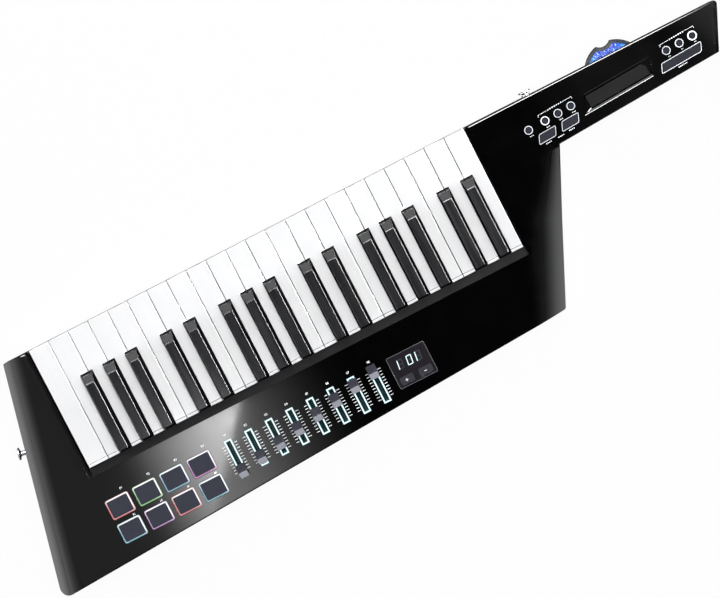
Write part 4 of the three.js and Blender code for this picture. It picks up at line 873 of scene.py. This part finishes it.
slot_core = lit("slot_light_core", (0.8, 0.97, 0.98), 1.0)
slot_fringe = lit("slot_light_fringe", (0.06, 0.4, 0.46), 1.0)
felt = moulded("dust_felt", (0.001, 0.02, 0.024), (0.002, 0.034, 0.038), rough=(0.85, 0.95), grain=4000,
               depth=0.12, shine=0.0)
# The caps' dark far slope is painted shade and their pale near slope painted light, on one grey plastic.
cap_painted_shade = moulded("cap_dark_plastic", (0.036, 0.036, 0.05), (0.044, 0.044, 0.058), rough=(0.35, 0.45),
                   grain=1500, depth=0.02, shine=0.03)
cap_painted_light = moulded("cap_pale_plastic", (0.4, 0.41, 0.47), (0.45, 0.46, 0.52), rough=(0.35, 0.45),
                   grain=1500, depth=0.02, shine=0.1)
figure_print = bmesh.new()
for index in range(FADER_COUNT):
    x = FADER_FIRST + index * FADER_PITCH
    line = FRAME_CORE + 2 * FRAME_FRINGE
    bm = bmesh.new()
    light_line(bm, oblong(bm, spot(x, FADER_MIDDLE, FACE), SLOT[0] + 2 * line, SLOT[1] + 2 * line),
               FRAME_FRINGE, FRAME_CORE, MARK_HEIGHT)
    fit(shade(piece_from(bm, f"fader_frame_{index + 1}", [slot_core, slot_fringe])), "instrument",
        "display_plastic")
    bm = bmesh.new()
    for tick in range(TICKS):
        y = FADER_MIDDLE + (tick - (TICKS - 1) / 2) * TICK_PITCH
        for side in (-1, 1):
            raised(bm, [oblong(bm, spot(x + side * TICK_FROM_MIDDLE, y, FACE), *TICK)], MARK_HEIGHT)
    fit(piece_from(bm, f"fader_scale_{index + 1}", [white_print]), "instrument", "shell_plastic")
    bm = bmesh.new()
    for side in (-1, 1):
        lip = oblong(bm, spot(x + side * FELT_FROM_MIDDLE, FADER_MIDDLE, FELT_FOOT), *FELT[:2])
        raised(bm, [lip], FELT[2])
    fit(piece_from(bm, f"fader_felt_{index + 1}", [felt]), "instrument", "pad_rubber")
    figure_place = spot(x + FADER_FIGURE_SHIFT, FADER_FIGURE_Y, FACE)
    figures(figure_print, f"0{index + 1}", figure_place, FADER_FIGURE_SIZE)
    node = f"fader_cap_{index + 1}"
    cap = merged(node)
    low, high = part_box(node)
    crest = (low.y + high.y) / 2 - CAP_CREST_SHIFT * MM
    # Faces on the near side of the crest take the painted light, the rest the painted shade.
    for face in cap.faces:
        face.material_index = 1 if face.calc_center_median().y < crest else 0
    round_edges(cap, CAP_EDGE, least=20, chosen=above((FACE + CAP_SKIRT) * MM))
    fit(shade(piece_from(cap, f"fader_knob_{index + 1}", [cap_painted_shade, cap_painted_light])), f"fader_{index + 1}",
        "cap_plastic", node)
fit(piece_from(figure_print, "fader_figures", [white_print]), "instrument", "shell_plastic")

# Display: a black window over a lit three-figure number, whose unlit segments show faintly. A thin rim of
# lighter grey frames it, its lighter grey partly a painted highlight along the window's edge, and two soft
# keys of one mat stand in it, a plus and a minus.
DISPLAY_MIDDLE = (96.44, -127.3)
DISPLAY_SIZE = (44.5, 36.0, 1.6)
RIM = (0.5, 0.25)
DIGITS = (("1", 86.2), ("0", 96.8), ("1", 107.1))
SEGMENTS = {"1": "ef", "0": "abcdef"}
DIGIT = (5.2, 9.5)
DIGIT_Y = -120.9
SEGMENT_WIDTH = 1.05
SEGMENT_GAP = 0.1
SEGMENT_ROUND = 0.12
SEGMENT_HEIGHT = 0.08
LEAN = 0.12
WINDOW_EDGE = 0.3
BUTTON_EDGE = 0.35
BUTTON_TOP = 48.6
KEY_MARKS = ((84.9, -138.6, 2), (107.0, -138.8, 1))
KEY_MARK = (3.0, 0.8, 0.1)
KEY_MARK_HEIGHT = 0.05
window_plastic = moulded("window_plastic", (0.014, 0.012, 0.016), (0.018, 0.0155, 0.02), rough=(0.06, 0.1),
                         grain=300, depth=0.002)
# The rim's lighter grey is partly plastic colour and partly a painted highlight of the window's edge.
rim_plastic_and_highlight = moulded("display_rim_plastic_and_highlight", (0.028, 0.026, 0.030), (0.048, 0.046, 0.050), rough=(0.3, 0.4),
                      grain=900, depth=0.01)
digit_glow = lit("digit_glow", (0.74, 0.95, 1.0), 1.0)
digit_unlit = moulded("unlit_segment", (0.009, 0.019, 0.021), (0.011, 0.022, 0.024), rough=(0.3, 0.4),
                      grain=900, depth=0.005, shine=0.2)
window = merged("display_window")
round_edges(window, WINDOW_EDGE)
fit(shade(piece_from(window, "display_panel", [window_plastic])), "instrument", "display_plastic",
    "display_window")
bm = bmesh.new()
rim = border(bm, oblong(bm, spot(*DISPLAY_MIDDLE, FACE), *DISPLAY_SIZE), RIM[0])
raised(bm, rim[0], RIM[1])
fit(shade(piece_from(bm, "display_rim", [rim_plastic_and_highlight])), "instrument", "display_plastic")

lit_bars = bmesh.new()
unlit_bars = bmesh.new()
half_width = DIGIT[0] / 2
half_height = DIGIT[1] / 2
# Each bar of a figure: how far across and up its middle lies, and 1 where the bar is level.
BARS = {
    "a": (0, half_height, 1),
    "b": (half_width, half_height / 2, 0),
    "c": (half_width, -half_height / 2, 0),
    "d": (0, -half_height, 1),
    "e": (-half_width, -half_height / 2, 0),
    "f": (-half_width, half_height / 2, 0),
    "g": (0, 0, 1),
}
for figure, x in DIGITS:
    for bar, (across, up, level) in BARS.items():
        bm = lit_bars if bar in SEGMENTS[figure] else unlit_bars
        size = ((DIGIT[0] - SEGMENT_WIDTH - SEGMENT_GAP, SEGMENT_WIDTH) if level
                else (SEGMENT_WIDTH, half_height + SEGMENT_WIDTH / 2 - SEGMENT_GAP))
        lean = 0 if level else LEAN * size[1]
        middle = spot(x + across + LEAN * up, DIGIT_Y + up, FACE)
        raised(bm, [oblong(bm, middle, *size, SEGMENT_ROUND, 0, lean)], SEGMENT_HEIGHT)
fit(piece_from(lit_bars, "lit_segments", [digit_glow]), "instrument", "display_plastic")
fit(piece_from(unlit_bars, "unlit_segments", [digit_unlit]), "instrument", "display_plastic")

key_rubber = moulded("display_key_rubber", (0.044, 0.044, 0.053), (0.054, 0.054, 0.064), rough=(0.5, 0.62),
                     grain=2500, depth=0.02, shine=0.0)
buttons = merged("display_button_mat")
buttons_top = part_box("display_button_mat")[1].z - MARGIN * MM
round_edges(buttons, BUTTON_EDGE, segments=3, least=40, chosen=above(buttons_top))
fit(shade(piece_from(buttons, "display_buttons", [key_rubber])), "display_buttons", "button_rubber",
    "display_button_mat")
bm = bmesh.new()
for x, y, bars in KEY_MARKS:
    for bar in range(bars):
        raised(bm, [oblong(bm, spot(x, y, BUTTON_TOP), *KEY_MARK, bar * math.pi / 2)], KEY_MARK_HEIGHT)
fit(piece_from(bm, "button_marks", [white_print]), "display_buttons", "button_rubber")

# Neck buttons: round and leaning soft buttons in two mats, each with a lit line moulded round it. Brackets
# printed on the face group them, and rows of dashes stand where their names would be.
NECK_ROOT = (341.4, 9.6)
NECK_TURN = math.radians(2.97)
ROUND_LINE = 28.95
LOWER_ROUND = (-21.3, -1.4, 14.2, 29.8)
UPPER_ROUND = (145.2, 160.8, 176.4)
ROUND_RING = (4.6, 0.9)
DISC_SIDES = 36
BRIGHT_RINGS = {-1.4: (4.7, 1.05), 176.4: (5.1, 1.4)}
SLANTS = ((-6.6, 17.0), (21.0, 17.0), (155.4, 44.5))
SLANT_LINE = 14.5
SLANT_HEIGHT = 7.8
SLANT_OUTLINE = 0.7
SLANT_MARGIN = (3.4, 2.4)
SLANT_OUTLINE_SKEW = 4.68
SLANT_OUTLINE_ROUND = 1.8
BRACKET_LINE = 37.4
BRACKET_DROP = 2.2
BRACKET_GAP = 9.5
BRACKETS = ((-5.4, 34.7), (141.8, 181.9))
PRINT_WIDTH = 0.42
UNDER_ROUND = 7.0
UNDER_SLANT = (-2.5, -7.4)
BETWEEN_SLANTS = (5.6, 6.6)
# Each run of dashes: how many there are, their length, their width and their pitch.
BRACKET_DASHES = (7, 1.5, 1.2, 2.6)
LOWER_DASHES = (3, 0.9, 0.9, 1.5)
UPPER_DASHES = (2, 0.8, 0.8, 1.6)
BETWEEN_DASHES = (4, 1.3, 1.0, 2.0)
SHORT_SLANT_DASHES = (4, 1.1, 1.0, 1.8)
LONG_SLANT_DASHES = (6, 1.1, 1.0, 1.8)
LONG_SLANT = 20


def on_neck(u, v, z=FACE):
    """A place on the neck, in millimetres along it and across it from its root."""
    x, y = Matrix.Rotation(NECK_TURN, 2) @ Vector((u, v))
    return spot(NECK_ROOT[0] + x, NECK_ROOT[1] + y, z)


def disc(bm, centre, radius):
    """A flat round face that looks up."""
    made = bmesh.ops.create_circle(bm, cap_ends=True, segments=DISC_SIDES, radius=radius * MM,
                                   matrix=Matrix.Translation(centre))
    face = made["verts"][0].link_faces[0]
    if face.normal.z < 0:
        face.normal_flip()
    return face


def dash(bm, u, v, length, width=PRINT_WIDTH):
    """A printed dash along the neck."""
    raised(bm, [oblong(bm, on_neck(u, v), length, width, 0, NECK_TURN)], MARK_HEIGHT)


def dash_run(bm, middle, v, count, length, width, pitch):
    """A row of like dashes about a middle, which stands in for a printed name."""
    for number in range(count):
        dash(bm, middle + (number - (count - 1) / 2) * pitch, v, length, width)


neck_rubber = moulded("neck_button_rubber", (0.038, 0.038, 0.05), (0.048, 0.048, 0.062), rough=(0.5, 0.62),
                      grain=2500, depth=0.02, shine=0.0)
ring_light = lit("ring_light", (0.5, 0.55, 0.6), 1.0)
bright_ring_light = lit("bright_ring_light", (0.85, 0.92, 0.98), 1.0)
for node in ("neck_button_mat_lower", "neck_button_mat_upper"):
    buttons = merged(node)
    buttons_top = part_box(node)[1].z - MARGIN * MM
    round_edges(buttons, BUTTON_EDGE, segments=3, least=40, chosen=above(buttons_top))
    body = node.replace("button_mat", "buttons")
    fit(shade(piece_from(buttons, body, [neck_rubber])), body, "button_rubber", node)
bm = bmesh.new()
for u in LOWER_ROUND + UPPER_ROUND:
    radius, width = BRIGHT_RINGS.get(u, ROUND_RING)
    ring = border(bm, disc(bm, on_neck(u, ROUND_LINE), radius), width)[0]
    for ring_face in ring:
        ring_face.material_index = 1 if u in BRIGHT_RINGS else 0
    raised(bm, ring, MARK_HEIGHT)
for u, width in SLANTS:
    outer = oblong(bm, on_neck(u, SLANT_LINE), width + SLANT_MARGIN[0], SLANT_HEIGHT + SLANT_MARGIN[1],
                   SLANT_OUTLINE_ROUND, NECK_TURN, SLANT_OUTLINE_SKEW)
    raised(bm, border(bm, outer, SLANT_OUTLINE)[0], MARK_HEIGHT)
fit(shade(piece_from(bm, "neck_light_lines", [ring_light, bright_ring_light])), "instrument",
    "display_plastic")

bm = bmesh.new()
for start, end in BRACKETS:
    middle_u = (start + end) / 2
    arm = (end - start) / 2 - BRACKET_GAP
    for side, u in ((-1, start), (1, end)):
        dash(bm, u - side * arm / 2, BRACKET_LINE, arm)
        hook = on_neck(u, BRACKET_LINE - BRACKET_DROP / 2)
        raised(bm, [oblong(bm, hook, PRINT_WIDTH, BRACKET_DROP, 0, NECK_TURN)], MARK_HEIGHT)
    dash_run(bm, middle_u, BRACKET_LINE, *BRACKET_DASHES)
for u in LOWER_ROUND:
    dash_run(bm, u, ROUND_LINE - UNDER_ROUND, *LOWER_DASHES)
for u in UPPER_ROUND:
    dash_run(bm, u, ROUND_LINE - UNDER_ROUND, *UPPER_DASHES)
dash_run(bm, *BETWEEN_SLANTS, *BETWEEN_DASHES)
for u, width in SLANTS:
    dashes = LONG_SLANT_DASHES if width > LONG_SLANT else SHORT_SLANT_DASHES
    dash_run(bm, u + UNDER_SLANT[0], SLANT_LINE + UNDER_SLANT[1], *dashes)
fit(piece_from(bm, "neck_print", [white_print]), "instrument", "shell_plastic")

# Touch strip: a grey film on a stiff back with one cut corner, glued into a sunken pocket. A glowing line, a
# painted highlight for the light caught on the pocket's edge, runs along the pocket's lower edge and up its
# near corner.
POCKET = (38.1, 120.5, 12.7)
POCKET_CORNER = (47.4, 16.2, 46.3)
POCKET_LINE = 0.6
STRIP_CUT = 4.0
STRIP_EDGE = 0.3
SAME_PLACE = 1e-5
strip_film = moulded("strip_film", (0.021, 0.021, 0.022), (0.031, 0.031, 0.032), rough=(0.4, 0.5),
                     grain=3000, depth=0.02, shine=0.0)
# The pocket's edge line glows as a painted highlight, though no lamp is under it.
pocket_painted_highlight = lit("pocket_painted_highlight", (0.85, 0.88, 0.9), 1.0)
strip = merged("touch_strip")
far_corner = max(strip.verts, key=lambda v: v.co.x + v.co.y)
upright = [e for e in strip.edges if all((v.co - far_corner.co).to_2d().length < SAME_PLACE for v in e.verts)]
bmesh.ops.bevel(strip, geom=upright, offset=STRIP_CUT * MM, offset_type="OFFSET", segments=1, profile=0.5,
                affect="EDGES", material=-1, clamp_overlap=True)
round_edges(strip, STRIP_EDGE)
fit(shade(piece_from(strip, "ribbon_strip", [strip_film])), "instrument", "strip_plastic", "touch_strip")
bm = bmesh.new()
dash(bm, (POCKET[0] + POCKET[1]) / 2, POCKET[2], POCKET[1] - POCKET[0], POCKET_LINE)
half_line = POCKET_LINE / 2
near_end = [on_neck(POCKET[0] + side * half_line, POCKET[2] - side * half_line, FACE) for side in (-1, 1)]
far_end = [on_neck(POCKET_CORNER[0] + side * half_line, POCKET_CORNER[1] - side * half_line, POCKET_CORNER[2])
           for side in (1, -1)]
raised(bm, [flat_face(bm, near_end + far_end)], MARK_HEIGHT)
fit(piece_from(bm, "pocket_highlight_line", [pocket_painted_highlight]), "instrument", "display_plastic")

# Bend wheel: clear plastic with a smoky rim that follows its thumb notch, lit blue from the hub. It turns on
# a pin of the rear shell, and its edge stands out of the neck's upper side.
WHEEL_MIDDLE = (429.7, 50.9, 31.0)
WHEEL_RADIUS = 33.1
NOTCH_RADIUS = 11.4
NOTCH_DEPTH = 4.4
WHEEL_EDGE_STOPS = ((0.0, 1.0), (0.1, 1.0), (0.16, 0.0))
WEB_STOPS = ((0.78, 0.0), (0.86, 1.0))
RIM_SCALE = 5.0
WHEEL_EDGE = 0.6
STREAKS_AROUND = 16
STREAKS_OUTWARDS = 130
STREAK_SIZE = 1.6
DEEP_BLUE = (0.0, 0.0, 0.16)
LAMP_BLUE = (0.01, 0.06, 0.8)
STREAK_BLUE = (0.3, 0.8, 1.0)
SIDE_BLUE = (0.04, 0.5, 0.75)
EDGE_BLACK = (0.002, 0.002, 0.003)
RIM_GLOW = (0.012, 0.014, 0.035)
WEB_STRENGTH = 0.55
wheel_plastic = moulded("wheel_plastic", (0.013, 0.019, 0.030), (0.026, 0.036, 0.054), rough=(0.15, 0.25),
                        grain=600, depth=0.01)
tree = wheel_plastic.node_tree
surface = tree.nodes["Principled BSDF"]
place = tree.nodes.new("ShaderNodeTexCoord").outputs["Object"]


def away_from(tree, place, centre):
    """How far a place is from an upright axis through a centre."""
    level = tree.nodes.new("ShaderNodeVectorMath")
    level.operation = "MULTIPLY"
    level.inputs[1].default_value = (1, 1, 0)
    tree.links.new(place, level.inputs[0])
    gap = tree.nodes.new("ShaderNodeVectorMath")
    gap.operation = "DISTANCE"
    gap.inputs[1].default_value = (centre.x, centre.y, 0)
    tree.links.new(level.outputs[0], gap.inputs[0])
    return gap.outputs["Value"]


hub = spot(*WHEEL_MIDDLE)
notch = spot(WHEEL_MIDDLE[0], WHEEL_MIDDLE[1] + WHEEL_RADIUS - NOTCH_DEPTH + NOTCH_RADIUS)
from_hub = away_from(tree, place, hub)
from_rim = worked(tree, "SUBTRACT", WHEEL_RADIUS * MM, from_hub)
from_notch = worked(tree, "SUBTRACT", away_from(tree, place, notch), NOTCH_RADIUS * MM)
depth = worked(tree, "DIVIDE", worked(tree, "MINIMUM", from_rim, from_notch), RIM_SCALE * MM)
around = worked(tree, "ARCTAN2", worked(tree, "SUBTRACT", along(tree, place, (0, 1, 0)), hub.y),
                worked(tree, "SUBTRACT", along(tree, place, (1, 0, 0)), hub.x))
polar = tree.nodes.new("ShaderNodeCombineXYZ")
tree.links.new(worked(tree, "MULTIPLY", around, STREAKS_AROUND), polar.inputs[0])
tree.links.new(worked(tree, "MULTIPLY", from_hub, STREAKS_OUTWARDS), polar.inputs[1])
streaks = noise(tree, polar.outputs[0], STREAK_SIZE, 3)
blue = blended(tree, between(tree, streaks, 0, 1, 0.38, 0.6), DEEP_BLUE, LAMP_BLUE)
blue = blended(tree, between(tree, streaks, 0, 1, 0.56, 0.66), blue, STREAK_BLUE)
sideways = worked(tree, "ABSOLUTE", worked(tree, "SUBTRACT", around, math.pi / 2))
blue = blended(tree, between(tree, sideways, 0, 0.5, 0.45, 0.9), blue, SIDE_BLUE)
smoky = surface.inputs["Base Color"].links[0].from_socket
web = ramped(tree, depth, WEB_STOPS)
edged = blended(tree, ramped(tree, depth, WHEEL_EDGE_STOPS), smoky, EDGE_BLACK)
tree.links.new(blended(tree, web, edged, blue), surface.inputs["Base Color"])
tree.links.new(blended(tree, web, RIM_GLOW, blue), surface.inputs["Emission Color"])
tree.links.new(between(tree, web, 0.0, WEB_STRENGTH, 0, 1), surface.inputs["Emission Strength"])
wheel = merged("pitch_wheel")
round_edges(wheel, WHEEL_EDGE, segments=3)
fit(shade(piece_from(wheel, "bend_wheel", [wheel_plastic])), "bend_wheel", "wheel_plastic", "pitch_wheel")

# Strap buttons: polished turned metal buttons, one on the lower end and one at the neck. A screw through each
# holds it to the shell, with its cross head sunk in the button's crown.
STRAP_TOP = 0.53
STRAP_PROFILE_LOW = ((0.0, 0.0), (4.6, 0.0), (4.6, 1.2), (2.6, 1.2))
STRAP_PROFILE_HIGH = ((2.6, -3.6), (3.6, -2.6), (5.2, -1.9), (6.7, -1.6), (6.7, -STRAP_TOP), (6.3, -0.2),
                      (5.1, 0.0), (3.3, 0.0), (3.0, -0.9), (0.0, -0.9))
LEFT_TOP = (-290.4, 70.7)
LEFT_BOTTOM = (-350.5, -182.0)
STRAP_SEAT = 0.3
STRAP_SCREW_SUNK = 0.15
STRAP_SIDES = 48
END_BUTTON = (99.0, 15.0, 11.0)
NECK_BUTTON = ((333.4, 71.0, 21.5), 5.0)
edge_run = (Vector(LEFT_BOTTOM) - Vector(LEFT_TOP)).normalized()
outwards = Vector((edge_run.y, -edge_run.x, 0))
end_foot = spot(*(Vector(LEFT_TOP) + edge_run * END_BUTTON[0]), END_BUTTON[1]) + outwards * STRAP_SEAT * MM
neck_foot = spot(*NECK_BUTTON[0])
for node, foot, axis, length in (("strap_button_end", end_foot, outwards, END_BUTTON[2]),
                                 ("strap_button_neck", neck_foot, Vector((0, 1, 0)), NECK_BUTTON[1])):
    upright = Matrix.Translation(foot) @ axis.to_track_quat("Z", "Y").to_matrix().to_4x4()
    profile = STRAP_PROFILE_LOW + tuple((radius, length + back) for radius, back in STRAP_PROFILE_HIGH)
    bm = bmesh.new()
    verts = [bm.verts.new((radius * MM, 0, height * MM)) for radius, height in profile]
    edges = [bm.edges.new(pair) for pair in zip(verts, verts[1:])]
    bmesh.ops.spin(bm, geom=verts + edges, cent=(0, 0, 0), axis=(0, 0, 1), angle=2 * math.pi,
                   steps=STRAP_SIDES, use_merge=True)
    bmesh.ops.remove_doubles(bm, verts=bm.verts, dist=SAME_POINT)
    bmesh.ops.recalc_face_normals(bm, faces=bm.faces)
    bmesh.ops.transform(bm, matrix=upright, verts=bm.verts)
    fit(shade(piece_from(bm, node + "_turned", [polished_metal])), "instrument", "strap_metal", node)
    bm = bmesh.new()
    cross_head(bm, upright @ Matrix.Translation((0, 0, (length - STRAP_SCREW_SUNK) * MM)))
    bmesh.ops.recalc_face_normals(bm, faces=bm.faces)
    fit(shade(piece_from(bm, node + "_screw", [screw_steel])), "instrument", "strap_metal")
